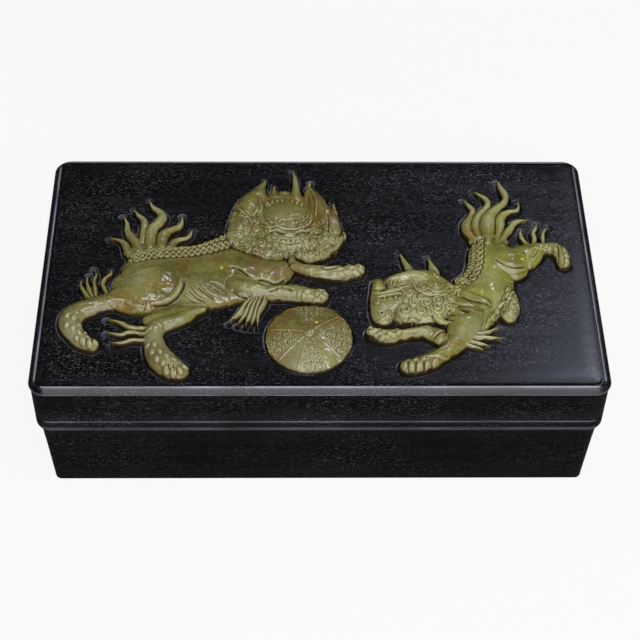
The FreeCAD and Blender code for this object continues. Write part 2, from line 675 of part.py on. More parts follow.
def strokeSolid(points, height):
    # Loft of upright sections: straight sides, then an arched back.
    widest = max(width for x, y, width in points) * scale
    relief = height * numberOf(dim("inlay_relief"))
    sections = []
    for spot, width, along in stations(points, 0):
        fullness = math.sqrt(min(width / widest, 1.0))
        crest = relief * (leastCrest + (1 - leastCrest) * fullness)
        wall = crest * wallShare
        side = vec(-along.y, along.x, 0) * width
        low = vec(spot.x, spot.y, stoneFloor)
        edge = vec(spot.x, spot.y, panelTop.number + wall)
        arch = Part.Arc(edge + side, vec(spot.x, spot.y, panelTop.number + crest), edge - side)
        sections.append(Part.Wire([
            Part.LineSegment(low + side, edge + side).toShape(),
            arch.toShape(),
            Part.LineSegment(edge - side, low - side).toShape(),
            Part.LineSegment(low - side, low + side).toShape(),
        ]))
    return Part.makeLoft(sections, True, True)


def footPrism(points, floor, top, grow):
    # Upright prism over a stroke's outline.
    left = []
    right = []
    for spot, width, along in stations(points, grow):
        side = vec(-along.y, along.x, 0) * width
        left.append(vec(spot.x, spot.y, floor) + side)
        right.append(vec(spot.x, spot.y, floor) - side)
    ring = left + right[::-1]
    face = Part.Face(Part.makePolygon(ring + [ring[0]]))
    return face.extrude(vec(0, 0, top - floor))


def stoneFeet(name, floor, top, grow):
    # Upright prisms over all the strokes of one stone.
    shiftX, shiftY, strokes = stones[name]
    feet = [footPrism(points, floor, top, grow) for height, points in strokes]
    for foot in feet:
        foot.translate(vec(shiftX, shiftY, 0))
    return feet


def tallest():
    return max(height for group in stones.values() for height, points in group[2])


def buildStone(name, cutters):
    # One carved stone, cut back where the stones above it lie over it.
    shiftX, shiftY, strokes = stones[name]
    solids = [strokeSolid(points, height) for height, points in strokes]
    shape = solids[0]
    if len(solids) > 1:
        shape = solids[0].multiFuse(solids[1:])
    shape.translate(vec(shiftX, shiftY, 0))
    near = [c for c in cutters if c.BoundBox.intersect(shape.BoundBox)]
    if near:
        shape = shape.cut(near)
    whole = max(shape.Solids, key=lambda s: s.Volume)
    stone = doc.addObject("Part::Feature", name)
    stone.Label = name
    stone.Shape = whole.removeSplitter()
    print(name, "solids", len(shape.Solids), "dropped %.2f mm3" % (shape.Volume - whole.Volume))
    return stone


def buildBall(cutters):
    # Domed ball with a short upright wall, cut back under the lion's paw.
    body = newBody("ball_blank")
    floor = panelTop - dim("inlay_depth")
    wallTop = panelTop + dim("ball_wall")
    crown = panelTop + dim("ball_rise")
    radius = dim("ball_radius")
    rise = dim("ball_rise") - dim("ball_wall")
    section = newSketch(body, "Section", "XZ_Plane")
    dome = (radius * radius + rise * rise) / (rise * 2)
    addOutline(section, [(zero, floor), (radius, floor), (radius, wallTop), (zero, crown)], {2: -dome})
    turned = body.newObject("PartDesign::Revolution", "Turned")
    turned.Profile = section
    turned.ReferenceAxis = (section, ["V_Axis"])
    turned.Angle = 360
    body.Placement = FreeCAD.Placement(
        vec(numberOf(dim("ball_centre_x")), numberOf(dim("ball_centre_y")), 0), FreeCAD.Rotation())
    body.setExpression("Placement.Base.x", dim("ball_centre_x").formula)
    body.setExpression("Placement.Base.y", dim("ball_centre_y").formula)
    doc.recompute()
    tool = doc.addObject("Part::Feature", "paw_over_ball")
    near = [c for c in cutters if c.BoundBox.intersect(body.Shape.BoundBox)]
    tool.Shape = near[0].multiFuse(near[1:]) if len(near) > 1 else near[0]
    ball = doc.addObject("Part::Cut", "brocade_ball")
    ball.Label = "brocade_ball"
    ball.Base = body
    ball.Tool = tool
    return ball


def buildRecess():
    # Pockets for the stones, a little larger than the stones, with the drilled
    # round ends that the fretsaw left beyond each flame's point.
    floor = stoneFloor
    above = panelTop.number + tallest()
    gap = numberOf(dim("inlay_gap"))
    tools = []
    for name, (shiftX, shiftY, strokes) in stones.items():
        tools += stoneFeet(name, floor, above, gap)
        for height, points in strokes:
            for end, beside in ((0, 1), (-1, -2)):
                x, y, width = points[end]
                if width < pointWidth:
                    tip = vec(x, y, 0)
                    outward = (tip - vec(points[beside][0], points[beside][1], 0)).normalize()
                    centre = tip * scale + outward * numberOf(dim("tip_hole_reach"))
                    hole = Part.makeCylinder(numberOf(dim("tip_hole_radius")), above - floor)
                    hole.translate(centre + vec(shiftX, shiftY, floor))
                    tools.append(hole)
    ball = Part.makeCylinder(numberOf(dim("ball_radius")) + gap, above - floor)
    ball.translate(vec(numberOf(dim("ball_centre_x")), numberOf(dim("ball_centre_y")), floor))
    tools.append(ball)
    recess = doc.addObject("Part::Feature", "carving_recess")
    recess.Shape = tools[0].multiFuse(tools[1:])
    return recess


# The assembly.

pieces = []

for side, run, reach, turn in wallSides:
    pieces.append(buildWall("base_wall_" + side, "base", run, reach, dim("wall_inset"), turn))
    pieces.append(buildWall("lid_wall_" + side, "lid", run, reach, lidInnerInset, turn))
    pieces.append(buildLipStrip("lip_strip_" + side, run, reach, turn))

pieces.append(buildBoard("bottom_board", dim("bottom_rabbet"), zero, dim("bottom_thickness")))

blank = buildBoard("panel_blank", panelInset, panelUnder, dim("panel_thickness"))
addFillet(blank, blank.Tip, dim("panel_round"), isAtHeight(panelTop.number))
panel = doc.addObject("Part::Cut", "lid_panel")
panel.Label = "lid_panel"
panel.Base = blank
panel.Tool = buildRecess()
pieces.append(panel)

pieces.append(buildTray())
pieces.append(buildPad("inkstone_pad", "stone", stoneWellFloor))
pieces.append(buildPad("ink_stick_pad", "stick", stickWellFloor))
pieces.append(buildInkstone())
pieces.append(buildInkStick())

cutters = []
for name in stones:
    pieces.append(buildStone(name, cutters))
    cutters += stoneFeet(name, stoneFloor - cutMargin, panelTop.number + tallest() + cutMargin, 0)
pieces.append(buildBall(cutters))

doc.recompute()

for item in doc.Objects:
    if "Invalid" in item.State or "Error" in item.State:
        raise RuntimeError("%s did not compute: %s" % (item.Label, item.State))
for piece in pieces:
    if piece.Shape.isNull() or not piece.Shape.isValid() or piece.Shape.Volume <= 0:
        raise RuntimeError("%s has no sound solid" % piece.Label)
for piece in pieces:
    piece.Shape.exportStep("parts/%s.step" % piece.Label)
    box = piece.Shape.BoundBox
    print("%-26s solids %d  volume %9.1f  x %7.2f %7.2f  y %7.2f %7.2f  z %6.2f %6.2f" % (
        piece.Label, len(piece.Shape.Solids), piece.Shape.Volume,
        box.XMin, box.XMax, box.YMin, box.YMax, box.ZMin, box.ZMax))
print(len(pieces), "pieces")
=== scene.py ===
import math

import bpy
import numpy as np
from mathutils import Matrix, Vector


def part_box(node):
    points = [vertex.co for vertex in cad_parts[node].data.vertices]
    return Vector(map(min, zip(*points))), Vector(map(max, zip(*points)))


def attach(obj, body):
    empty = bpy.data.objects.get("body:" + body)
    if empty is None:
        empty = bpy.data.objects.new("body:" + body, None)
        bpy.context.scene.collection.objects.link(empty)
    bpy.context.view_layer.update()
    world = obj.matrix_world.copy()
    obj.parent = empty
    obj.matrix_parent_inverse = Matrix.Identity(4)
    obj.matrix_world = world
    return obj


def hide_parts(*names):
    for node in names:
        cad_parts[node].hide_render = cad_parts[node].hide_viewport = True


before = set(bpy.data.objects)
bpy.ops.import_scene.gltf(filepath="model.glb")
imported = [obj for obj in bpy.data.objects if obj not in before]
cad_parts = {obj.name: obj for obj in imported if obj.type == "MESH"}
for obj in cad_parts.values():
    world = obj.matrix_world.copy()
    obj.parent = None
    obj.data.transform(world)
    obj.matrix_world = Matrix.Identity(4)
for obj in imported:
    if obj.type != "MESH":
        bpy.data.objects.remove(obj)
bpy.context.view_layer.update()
mm = 0.001
seed = 12


# Small tools

def linear(hexColour):
    channels = [int(hexColour[i:i + 2], 16) / 255 for i in (1, 3, 5)]
    return [c / 12.92 if c <= 0.04045 else ((c + 0.055) / 1.055) ** 2.4 for c in channels] + [1.0]


def newMaterial(name):
    material = bpy.data.materials.new(name)
    material.use_nodes = True
    material.node_tree.nodes.clear()
    return material


def add(material, kind, inputs=None, **settings):
    node = material.node_tree.nodes.new("ShaderNode" + kind)
    for name, value in settings.items():
        setattr(node, name, value)
    for key, value in (inputs or {}).items():
        if isinstance(value, bpy.types.NodeSocket):
            material.node_tree.links.new(value, node.inputs[key])
        else:
            node.inputs[key].default_value = value
    return node


def addRamp(material, source, stops):
    # stops are places and colours, or places and plain values
    node = add(material, "ValToRGB", {0: source})
    band = node.color_ramp
    while len(band.elements) < len(stops):
        band.elements.new(0.5)
    for element, (place, colour) in zip(band.elements, stops):
        element.position = place
        element.color = linear(colour) if isinstance(colour, str) else [colour] * 3 + [1]
    return node.outputs[0]


def blendColour(material, factor, first, second, mode="MIX"):
    node = add(material, "Mix", {0: factor, 6: first, 7: second}, data_type="RGBA", blend_type=mode)
    return node.outputs[2]


def numberOf(material, operation, first, second=0.5):
    return add(material, "Math", {0: first, 1: second}, operation=operation).outputs[0]


def finishMaterial(material, inputs):
    shader = add(material, "BsdfPrincipled", inputs)
    add(material, "OutputMaterial", {"Surface": shader.outputs[0]})
    return material


def deselectAll():
    if bpy.context.mode != "OBJECT":
        bpy.ops.object.mode_set(mode="OBJECT")
    bpy.ops.object.select_all(action="DESELECT")


def takeHold(piece):
    deselectAll()
    piece.select_set(True)
    bpy.context.view_layer.objects.active = piece


def settle(piece, name):
    # the piece's place goes into its mesh, and its object sits at the origin
    takeHold(piece)
    bpy.ops.object.transform_apply(location=True, rotation=True, scale=True)
    piece.name = name
    piece.data.name = name
    return piece


def dress(piece, material, body, replaced=()):
    piece.data.materials.clear()
    piece.data.materials.append(material)
    if replaced:
        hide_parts(*replaced)
    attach(piece, body)
    return piece


def readPoints(piece):
    points = np.empty(len(piece.data.vertices) * 3)
    piece.data.vertices.foreach_get("co", points)
    return points.reshape(-1, 3) / mm


def writePoints(piece, points):
    piece.data.vertices.foreach_set("co", (points * mm).ravel())
    piece.data.update()


def paint(piece, name, values):
    # one number for each point, which a material reads by name
    layer = piece.data.attributes.new(name, "FLOAT", "POINT")
    layer.data.foreach_set("value", values.astype(np.float32))


# The carvings, in millimetres from the middle of the lid: for each stone a shift along y,
# then its strokes, each a relief height and stations x, y and half width

carving = {
    "pitch": 0.28,          # spacing of the points of a carved surface
    "headPitch": 0.22,
    "margin": 0.84,
    "wallShare": 0.12,     # how much of a stroke's height is its upright side
    "tallestWall": 0.4,
    "fullness": 0.8,        # 0.5 is a half round, 1 a gentler mound
    "leastCrest": 0.4,
    "sink": 1.5,            # how deep the stones are let into the board
    "tallest": 7.38,
    "softTop": 0.6,         # how far below that the tops begin to level off
    "rubbed": 8,            # rounds of smoothing before the detail is cut
    "rubbedFrom": 1.5,      # in from the rim
    "unevenness": ((0.16, 7.0), (0.05, 2.6)),   # height and length of a slow ripple
    "smoothAngle": 55,
    "lowest": 0.3,
    "leastWidth": 0.3,      # half width of a stroke's sharp end
    "waver": 0.24,          # how far the outline wanders inward, and over what length
    "waverLong": 5.5,
    "gap": 0.6,             # the fretsawn gap round each stone
    "holeRadius": 1.8,      # drilled ends of the gap, beyond each sharp point
    "holeReach": 1.0,
    "tuck": 0.35,           # how far a stone runs on under one that it meets level
    "step": 0.35,           # least rise where one stone lies over another
    "crown": 1.3,           # how much more it rises in the middle of a lock there
}

stones = {
    "large_lion_head": (-1.5, [
        (5.2, [(-16, 15.5, 9), (-16, 22, 17), (-16.5, 29.5, 19), (-16, 36, 13.6)]),
        (4.8, [(-30, 13.5, 5), (-22, 13, 6.5), (-17, 12, 5.5)]),
        (4.8, [(-10, 13.5, 6), (-4, 13.5, 6), (0, 14, 6)]),
        (4.8, [(-33, 11.5, 4), (-36.6, 17, 6.8), (-37, 25, 6.8), (-36, 33, 6), (-33.5, 40.5, 6),
               (-31, 45.8, 4.6)]),
        (4.8, [(-1, 9.5, 4), (3, 13.5, 6), (5.2, 20, 6.2), (5.2, 27, 5.2), (3, 34, 5), (-0.5, 40, 5)]),
        (4.2, [(-33, 10, 3.2), (-26, 7.4, 3.8), (-20, 6.2, 3.8)]),
        (4.2, [(-8.5, 7, 3.4), (-4, 5.8, 3.8), (1, 7, 3.6), (4.5, 10, 3.4)]),
        (3.4, [(12, 21.6, 1), (12, 19, 1.6), (9.4, 15, 2.2), (7, 10.6, 2.4), (3.4, 7, 2.4)]),
        (3.6, [(-25.8, 57.4, 0.4), (-26.4, 54.6, 1.4), (-28, 51.4, 2.6), (-28.6, 47, 4)]),
        (3.0, [(-21.2, 53.4, 0.4), (-21.4, 50.8, 1.2), (-21.6, 47, 2.4), (-21.6, 43, 2.6)]),
        (4.2, [(-12.4, 63, 0.4), (-11.4, 58.6, 1.4), (-10.8, 53, 2), (-10.9, 48.4, 2.7),
               (-11, 43, 4.2)]),
        (4.0, [(-3.7, 55.4, 0.4), (-4.4, 51.4, 1.8), (-3.4, 47, 3.8), (-1.4, 42, 5.4)]),
        (3.6, [(7.2, 41, 0.4), (7.6, 37.4, 1.4), (7.4, 32, 2.6), (7, 26, 3.6)]),
    ]),
    "large_lion_near_foreleg": (-1.0, [
        (5.4, [(-39, -13.5, 4.6), (-34, -15.2, 5.4), (-28, -16.6, 5), (-20, -17, 4.7), (-12, -17, 5.2),
               (-5, -18.6, 4.7), (0.2, -19.8, 4.3)]),
        (3.6, [(-30.5, -20, 1.8), (-34, -24, 1.9), (-36.4, -29, 1.9), (-41, -34.2, 0.4)]),
        (3.4, [(-29.5, -20, 1.8), (-32.4, -25, 1.8), (-34, -30, 1.7), (-37.2, -35.4, 0.4)]),
        (3.6, [(-28.4, -20, 1.8), (-30.4, -25, 1.8), (-32, -31, 1.7), (-34, -36.4, 0.4)]),
        (3.4, [(-27, -20, 1.8), (-28.6, -25, 1.7), (-29.8, -31, 1.6), (-31.4, -36.8, 0.4)]),
        (3.6, [(-25, -19, 1.8), (-25.8, -24, 1.8), (-28, -29, 1.6), (-28.4, -36.8, 0.4)]),
    ]),
    "large_lion_far_foreleg": (-1.0, [
        (4.6, [(-12, -1, 2.4), (-6, -2.5, 3.8), (2, -4, 4.5), (9, -4.8, 4.8), (17.5, -3.3, 4.2)]),
        (3.6, [(-12.6, 5.4, 1.8), (-12.4, 2, 2.4), (-9, -0.6, 3)]),
    ]),
    "large_lion_body": (-1.0, [
        (5.2, [(-85, -3, 7.6), (-78, -5, 12.8), (-69, -7, 15.5), (-60, -8.3, 18), (-52, -7.6, 18.4),
               (-44, -6, 17.8), (-38, -5.5, 16.5)]),
        (5.6, [(-77, -8.5, 12), (-80, -14, 16), (-84, -17.5, 12.5), (-91, -20, 7.5)]),
        (4.4, [(-42, -3, 9), (-31, -3.4, 9.6), (-21, -3.6, 8.6), (-17, -2.2, 5.4)]),
        (4.8, [(-87.4, 3, 2.6), (-80, 6.2, 3), (-70, 7.6, 3.2), (-60, 8, 3.6), (-52, 10.4, 4),
               (-46, 14, 4), (-42, 17, 4)]),
    ]),
    "large_lion_near_hind_leg": (-0.6, [
        (4.8, [(-90, -19.5, 7), (-98, -22.5, 5.4), (-105, -25.5, 5.4), (-112, -30, 6.2),
               (-113.5, -36, 5.6), (-110.6, -42, 4.8), (-106.6, -46.4, 4.4), (-102.8, -48.6, 3.7)]),
        (2.8, [(-110.5, -9.5, 0.4), (-110.3, -13, 1.1), (-108, -17.5, 1.4), (-105.5, -21, 1.4)]),
        (2.8, [(-107.5, -6.5, 0.4), (-107.8, -10, 1), (-106.5, -15, 1.4), (-104.5, -20, 1.4)]),
        (2.8, [(-105, -2.5, 0.4), (-103.8, -6, 0.9), (-104.5, -10, 1.2), (-103.6, -15, 1.4),
               (-103, -19, 1.3)]),
        (2.8, [(-97, -2.5, 0.4), (-97, -5.5, 1), (-99.5, -8.5, 1.2), (-100.5, -11.5, 1.4),
               (-99.5, -14.5, 1.4), (-98, -18, 1.4)]),
    ]),
    "large_lion_far_hind_leg": (-0.8, [
        (4.8, [(-53, -27.4, 1.4), (-58, -29.8, 2.6), (-62, -32.5, 3.6), (-68, -34.8, 4.4),
               (-74, -38, 5), (-75.3, -43.5, 4.8), (-74, -50, 5.6), (-71.2, -56, 6.6),
               (-66.4, -61.2, 6.2), (-62.8, -63.4, 4.7)]),
        (3.2, [(-54, -26, 3), (-62, -28, 4.6), (-70, -30, 5), (-77, -33.4, 4)]),
        (2.8, [(-79, -38.5, 1.5), (-86, -38, 1.5), (-90, -35.5, 1.4), (-96.5, -33, 0.4)]),
        (2.8, [(-77, -42.5, 1.5), (-86, -40.8, 1.4), (-90, -42.3, 1.3), (-96, -41, 0.4)]),
        (2.8, [(-77, -46, 1.5), (-85, -45.5, 1.4), (-89, -47, 1.2), (-93.5, -47, 0.4)]),
    ]),
    "large_lion_tail": (-1.5, [
        (2.6, [(-89.5, 9.5, 3), (-84, 11, 3.4), (-77, 11.5, 3.6), (-70, 11.5, 3.2)]),
        (2.8, [(-98.5, 18.3, 0.4), (-94.5, 17, 1.2), (-91.8, 14.7, 2), (-90.5, 11, 2.2), (-88, 5, 2)]),
        (3.2, [(-93.6, 32.7, 0.4), (-91.6, 28, 1.3), (-91, 23, 2), (-88.5, 18.5, 2.7), (-86, 14.5, 3),
               (-85, 5, 2.6)]),
        (3.0, [(-88.6, 37.2, 0.4), (-87, 34, 1.1), (-84.4, 31.2, 1.8), (-83.2, 28, 2.2),
               (-83.3, 24, 2.2), (-83.8, 16, 2)]),
        (4.0, [(-81.8, 43.2, 0.4), (-80, 38.8, 1.3), (-77, 36, 2), (-75, 32.5, 2.8), (-76.5, 28.3, 3.2),
               (-79, 24.5, 3.3), (-80, 19.5, 3.2), (-79.4, 6, 3)]),
        (3.4, [(-65.5, 32.8, 0.4), (-65.4, 29, 1.2), (-66.5, 25.9, 2), (-69.5, 24, 2.3), (-73, 21.7, 3),
               (-74.4, 17, 3.1), (-74, 5, 2.6)]),
        (2.8, [(-60.4, 23.8, 0.4), (-61.2, 20, 1.1), (-63.5, 18, 1.5), (-66.8, 17, 2.1),
               (-69.6, 14, 2.4), (-70.5, 5, 2)]),
    ]),
    "small_lion_head": (-1.5, [
        (5.8, [(31, -21, 7.5), (39, -20, 12), (47, -18.5, 13), (54, -17.5, 9.5)]),
        (4.2, [(27.4, -10.4, 3.2), (27.2, -20, 4.2), (28.4, -29, 5.4), (29, -32, 4.6)]),
        (5.0, [(33, -10, 3.2), (41, -7.5, 4.5), (49, -7, 5), (55, -10, 4.5), (60, -14, 3.2)]),
        (4.8, [(38, -31, 4.6), (46, -30, 5.6), (54, -28, 6), (61, -23, 4.6)]),
        (3.2, [(38.3, 8, 0.4), (39.8, 4, 1.4), (42.2, -2, 2.4), (44, -7, 3)]),
        (3.2, [(51.3, 5.4, 0.4), (52.6, 1.6, 1.5), (53.6, -3, 2.8), (53.4, -8, 3.4)]),
        (3.6, [(60, -13, 2.8), (66, -18.5, 2.8), (71, -21.5, 2.4), (76, -23.5, 1.7),
               (78.3, -26.5, 0.4)]),
        (3.6, [(59, -19, 2.8), (64, -24.5, 2.8), (69, -26.5, 2), (73.5, -28.5, 0.4)]),
        (3.4, [(57, -24, 2.6), (60.5, -29, 2.6), (63.8, -31.6, 1.8), (67.5, -32, 0.4)]),
        (3.4, [(51, -29, 2.6), (55, -33.5, 2.4), (60.5, -36, 0.4)]),
    ]),
    "small_lion_near_foreleg": (-0.8, [
        (5.2, [(67, -30, 8.5), (65, -40, 7.8), (61, -47.4, 5.2), (55.2, -53.2, 4.2), (48.5, -58, 4.7),
               (42, -60.4, 4.5), (38.8, -60.8, 4)]),
        (3.0, [(68, -42, 1.5), (74, -41.5, 1.5), (81, -38.5, 0.4)]),
        (3.0, [(68, -44, 1.5), (75, -44, 1.5), (82, -44.5, 0.4)]),
        (3.0, [(66, -46, 1.5), (71, -47.2, 1.4), (76.5, -49.2, 0.4)]),
        (3.0, [(64, -47.5, 1.5), (69, -49.3, 1.2), (73.2, -51, 0.4)]),
    ]),
    "small_lion_far_foreleg": (-0.8, [
        (4.4, [(23.6, -41.2, 3.1), (30, -43.6, 3.9), (36, -42.5, 3.4), (42, -41.2, 3.2),
               (49, -40, 3.4)]),
        (4.0, [(47, -41, 3), (52, -42, 4.2), (54.4, -44.2, 4.2)]),
    ]),
    "small_lion_body": (-1.0, [
        (5.2, [(79, 12, 6.5), (79.5, 5, 9.5), (80, -4, 11), (78.5, -13, 12), (74.5, -22, 12),
               (70, -29, 11.5), (67, -34, 10)]),
        (5.4, [(84, 8, 8.5), (87.5, 3, 9.5), (90.5, -1, 8)]),
        (5.0, [(87, -18, 4), (88, -25, 4.6), (86.6, -31, 4.3)]),
        (4.0, [(74.4, 10, 3.4), (73.4, 2, 3.6), (71, -6, 4), (66.4, -10.4, 4)]),
    ]),
    "small_lion_hind_leg": (-0.8, [
        (4.8, [(91, 3, 9), (97, 6, 8), (102.5, 10, 5.2), (108, 11.2, 3.7), (112.4, 10.6, 4.2),
               (115, 6, 3.7), (115.2, 1, 3.2)]),
        (2.8, [(96.8, 22.5, 0.4), (96.4, 20, 1.2), (97, 17, 1.3), (99, 13, 1.3)]),
        (2.8, [(104.8, 27, 0.4), (103.8, 23.8, 1.1), (102.5, 21, 1.3), (102.8, 17.5, 1.5),
               (102, 13, 1.5)]),
        (2.8, [(109.8, 25, 0.4), (108.2, 22.5, 0.9), (107, 19.8, 1.2), (106.6, 13, 1.3)]),
    ]),
    "small_lion_tail": (-1.5, [
        (2.6, [(74, 17, 3), (78.5, 19.5, 3.4), (84, 18.5, 3.2), (88, 16, 2.6)]),
        (3.2, [(71, 43, 0.4), (73.2, 39.8, 1.2), (74.6, 36.6, 1.7), (73, 32.3, 2), (71.2, 28, 2.8),
               (71, 23.5, 2.9), (72.8, 19.5, 2.4), (76, 15, 1.8)]),
        (3.4, [(76.4, 49.3, 0.4), (78.6, 47, 1.2), (81.4, 44.3, 1.8), (82.2, 40.8, 1.9),
               (80, 36.7, 2.1), (77.2, 33, 2.4), (75.4, 28, 2.5), (75.6, 22, 2.4), (77, 13, 2)]),
        (4.4, [(88.1, 55.8, 0.4), (89.2, 52.3, 1.4), (90.9, 48.3, 2), (91, 44, 2), (89, 40.3, 2.2),
               (85.6, 37, 2.7), (82.6, 33, 3.6), (81, 28, 4.2), (80.2, 20, 4), (80, 13, 3)]),
        (3.4, [(97, 42.5, 0.4), (97, 39, 1), (95.6, 36.5, 1.4), (92, 35.4, 1.9), (88.8, 33.5, 2.4),
               (87.4, 30, 2.7), (87, 26, 2.5), (86, 21, 2.2), (84, 14, 2)]),
        (3.2, [(100.3, 30, 0.4), (96.8, 29.8, 1.1), (94, 28.2, 1.8), (91.8, 24.8, 2.2),
               (89.6, 21.3, 2.2), (85, 13, 1.8)]),
    ]),
}


def smoothLine(stations, steps=6):
    # a smooth line through the stations, as rows of x, y and half width
    rows = np.array(stations, float)
    padded = np.vstack([2 * rows[0] - rows[1], rows, 2 * rows[-1] - rows[-2]])
    result = []
    for i in range(1, len(padded) - 2):
        a, b, c, d = padded[i - 1:i + 3]
        for t in np.arange(steps) / steps:
            result.append(0.5 * (2 * b + (c - a) * t + (2 * a - 5 * b + 4 * c - d) * t * t
                                 + (3 * b - a - 3 * c + d) * t ** 3))
    result.append(rows[-1])
    return np.array(result)


def acrossLine(points, line, reach=0.0):
    # for each point: distance outside the stroke's edge, share of the way from its middle
    # to its edge, which side, and how far along; far points are left far away
    outside = np.full(len(points), 99.0)
    share = np.full(len(points), 99.0)
    side = np.zeros(len(points))
    along = np.zeros(len(points))
    wide = line[:, 2].max() + reach
    low = line[:, :2].min(0) - wide
    high = line[:, :2].max(0) + wide
    near = np.nonzero(((points > low) & (points < high)).all(1))[0]
    spots = points[near]
    best = np.full(len(near), 99.0)
    ratio = np.full(len(near), 99.0)
    hand = np.zeros(len(near))
    way = np.zeros(len(near))
    travelled = 0.0
    for start, end in zip(line[:-1], line[1:]):
        run = end[:2] - start[:2]
        length = max(math.hypot(*run), 1e-6)
        t = np.clip(((spots - start[:2]) @ run) / length ** 2, 0, 1)
        offset = spots - start[:2] - t[:, None] * run
        distance = np.hypot(offset[:, 0], offset[:, 1])
        width = start[2] + (end[2] - start[2]) * t
        closer = distance - width < best
        best = np.where(closer, distance - width, best)
        ratio = np.where(closer, distance / np.maximum(width, 1e-3), ratio)
        cross = (run[0] * offset[:, 1] - run[1] * offset[:, 0]) / length
        hand = np.where(closer, cross / np.maximum(width, 1e-3), hand)
        way = np.where(closer, travelled + t * length, way)
        travelled += length
    outside[near] = best
    share[near] = ratio
    side[near] = hand
    along[near] = way
    return outside, share, side, along


def placed(stone):
    # a stone's strokes as smooth lines in place
    shift, strokes = stones[stone]
    result = []
    for height, stations in strokes:
        line = smoothLine(stations)
        line[:, 1] += shift
        line[:, 2] = np.maximum(line[:, 2], carving["leastWidth"])
        result.append((height, line))
    return result


lines = {name: placed(name) for name in stones}
allStones = list(stones) + ["brocade_ball"]
ballPlan = {"x": -5.0, "y": -44.6, "radius": 19.9, "wall": 0.7, "rise": 5.2}


def outlineOf(name, points, reach=4):
    # distance outside a stone's outline, as far as reach
    if name == "brocade_ball":
        away = np.hypot(points[:, 0] - ballPlan["x"], points[:, 1] - ballPlan["y"])
        return away - ballPlan["radius"]
    return np.min([acrossLine(points, line, reach)[0] for height, line in lines[name]], axis=0)


def rounded(share):
    return np.sqrt(np.clip(1 - share ** 2, 0, 1))


def softMax(first, second, blend):
    # the higher of two surfaces, with the valley between them filled a little
    gap = np.clip(0.5 + 0.5 * (first - second) / blend, 0, 1)
    return second + (first - second) * gap + blend * gap * (1 - gap)


def strokeHeight(points, height, line):
    # a stroke's height above the board, and how round it stands there
    outside, share, side, along = acrossLine(points, line)
    widest = line[:, 2].max()
    inside = outside < 0
    # the local half width follows from how far in the point lies
    width = np.where(share < 0.999, -outside / np.maximum(1 - share, 1e-3), 0)
    fullness = np.sqrt(np.clip(width / widest, 0, 1))
    crest = height * (carving["leastCrest"] + (1 - carving["leastCrest"]) * fullness)
    wall = np.minimum(crest * carving["wallShare"], carving["tallestWall"])
    crown = np.where(inside, np.clip(1 - share ** 2, 0, 1) ** carving["fullness"], 0)
    return np.where(inside, wall + (crest - wall) * crown, -1.0), crown * np.clip(width / 3, 0, 1)


# Stones in one layer run into each other level. A layer lies over those after it.
layers = [
    ("large_lion_head",),
    ("large_lion_near_foreleg", "large_lion_body", "large_lion_near_hind_leg"),
    ("large_lion_far_foreleg",),
    ("large_lion_far_hind_leg",),
    ("large_lion_tail",),
    ("small_lion_head",),
    ("small_lion_near_foreleg", "small_lion_body", "small_lion_hind_leg"),
    ("small_lion_far_foreleg",),
    ("small_lion_tail",),
    ("brocade_ball",),
]
# how widely forms run into each other: the strokes of one stone, with four of their own,
# the stones of a layer, a stone pressed low and a stone that lies over another
blends = {
    "strokes": 0.35,
    "large_lion_head": 1.6,
    "large_lion_body": 3.0,
    "small_lion_head": 2.2,
    "small_lion_body": 1.6,
    "layer": 1.2,
    "pressed": 0.6,
    "over": 0.4,
}
# stones kept low beside the one that lies over them: which, height at its edge, slope
pressed = {
    "large_lion_body": ("large_lion_head", 3.0, 0.34),
    "large_lion_far_foreleg": ("large_lion_head", 3.0, 0.5),
    "small_lion_body": ("small_lion_head", 3.4, 0.5),
    "small_lion_near_foreleg": ("small_lion_head", 4.4, 0.6),
    "small_lion_far_foreleg": ("small_lion_head", 2.6, 0.5),
    "brocade_ball": ("large_lion_near_foreleg", 2.2, 0.6),
}


def layerPlace(name):
    return [name in layer for layer in layers].index(True)


def ballHeight(points):
    away = np.hypot(points[:, 0] - ballPlan["x"], points[:, 1] - ballPlan["y"])
    rise = ballPlan["rise"] - ballPlan["wall"]
    dome = (ballPlan["radius"] ** 2 + rise ** 2) / (2 * rise)
    height = ballPlan["rise"] - dome + np.sqrt(np.maximum(dome ** 2 - away ** 2, 0))
    return np.where(away < ballPlan["radius"], height, -1.0), np.zeros(len(points))


def layerHeight(layer, points):
    # the surface of one layer by itself
    height = np.full(len(points), -1.0)
    crown = np.zeros(len(points))
    for name in layer:
        if name == "brocade_ball":
            own, ownCrown = ballHeight(points)
        else:
            own = np.full(len(points), -1.0)
            ownCrown = np.zeros(len(points))
            for tall, line in lines[name]:
                each, eachCrown = strokeHeight(points, tall, line)
                own = softMax(each, own, blends.get(name, blends["strokes"]))
                ownCrown = np.maximum(ownCrown, eachCrown)
        if name in pressed:
            over, low, slope = pressed[name]
            limit = low + slope * np.maximum(outlineOf(over, points), 0)
            own = np.where(own > 0, -softMax(-own, -limit, blends["pressed"]), own)
        height = softMax(own, height, blends["layer"])
        crown = np.maximum(crown, ownCrown)
    return height, crown


def reliefOf(name, points):
    # height above the board of a stone, raised where it lies over others
    place = layerPlace(name)
    relief, crown = layerHeight(layers[place], points)
    for layer in layers[place + 1:]:
        below = layerHeight(layer, points)[0]
        raised = below + carving["step"] + carving["crown"] * crown
        relief = np.where(below > 0, softMax(relief, raised, blends["over"]), relief)
    return relief


print("outlines and relief ready")


# Materials

woodLook = {
    "ground": "#030303",
    "lighter": "#0a0908",
    "pore": "#a3a1a6",
    # dust and painted sheen on the wide recess floor
    "dustAndSheen": "#5d5960",      # lies in the sawn recess
    # painted highlight on the board's recess edge and the walls' arrises
    "rubbed": "#b5b3bb",
    # lengths and widths in millimetres
    "pores": (1.7, 0.24),
    "smallPores": (0.765, 0.216),
    "figure": (60.0, 5.0),
    "crowding": (40.0, 22.0),
    "poreFrom": 0.64,       # where in the noise a pore begins, and where it is full
    "poreFull": 0.71,
}


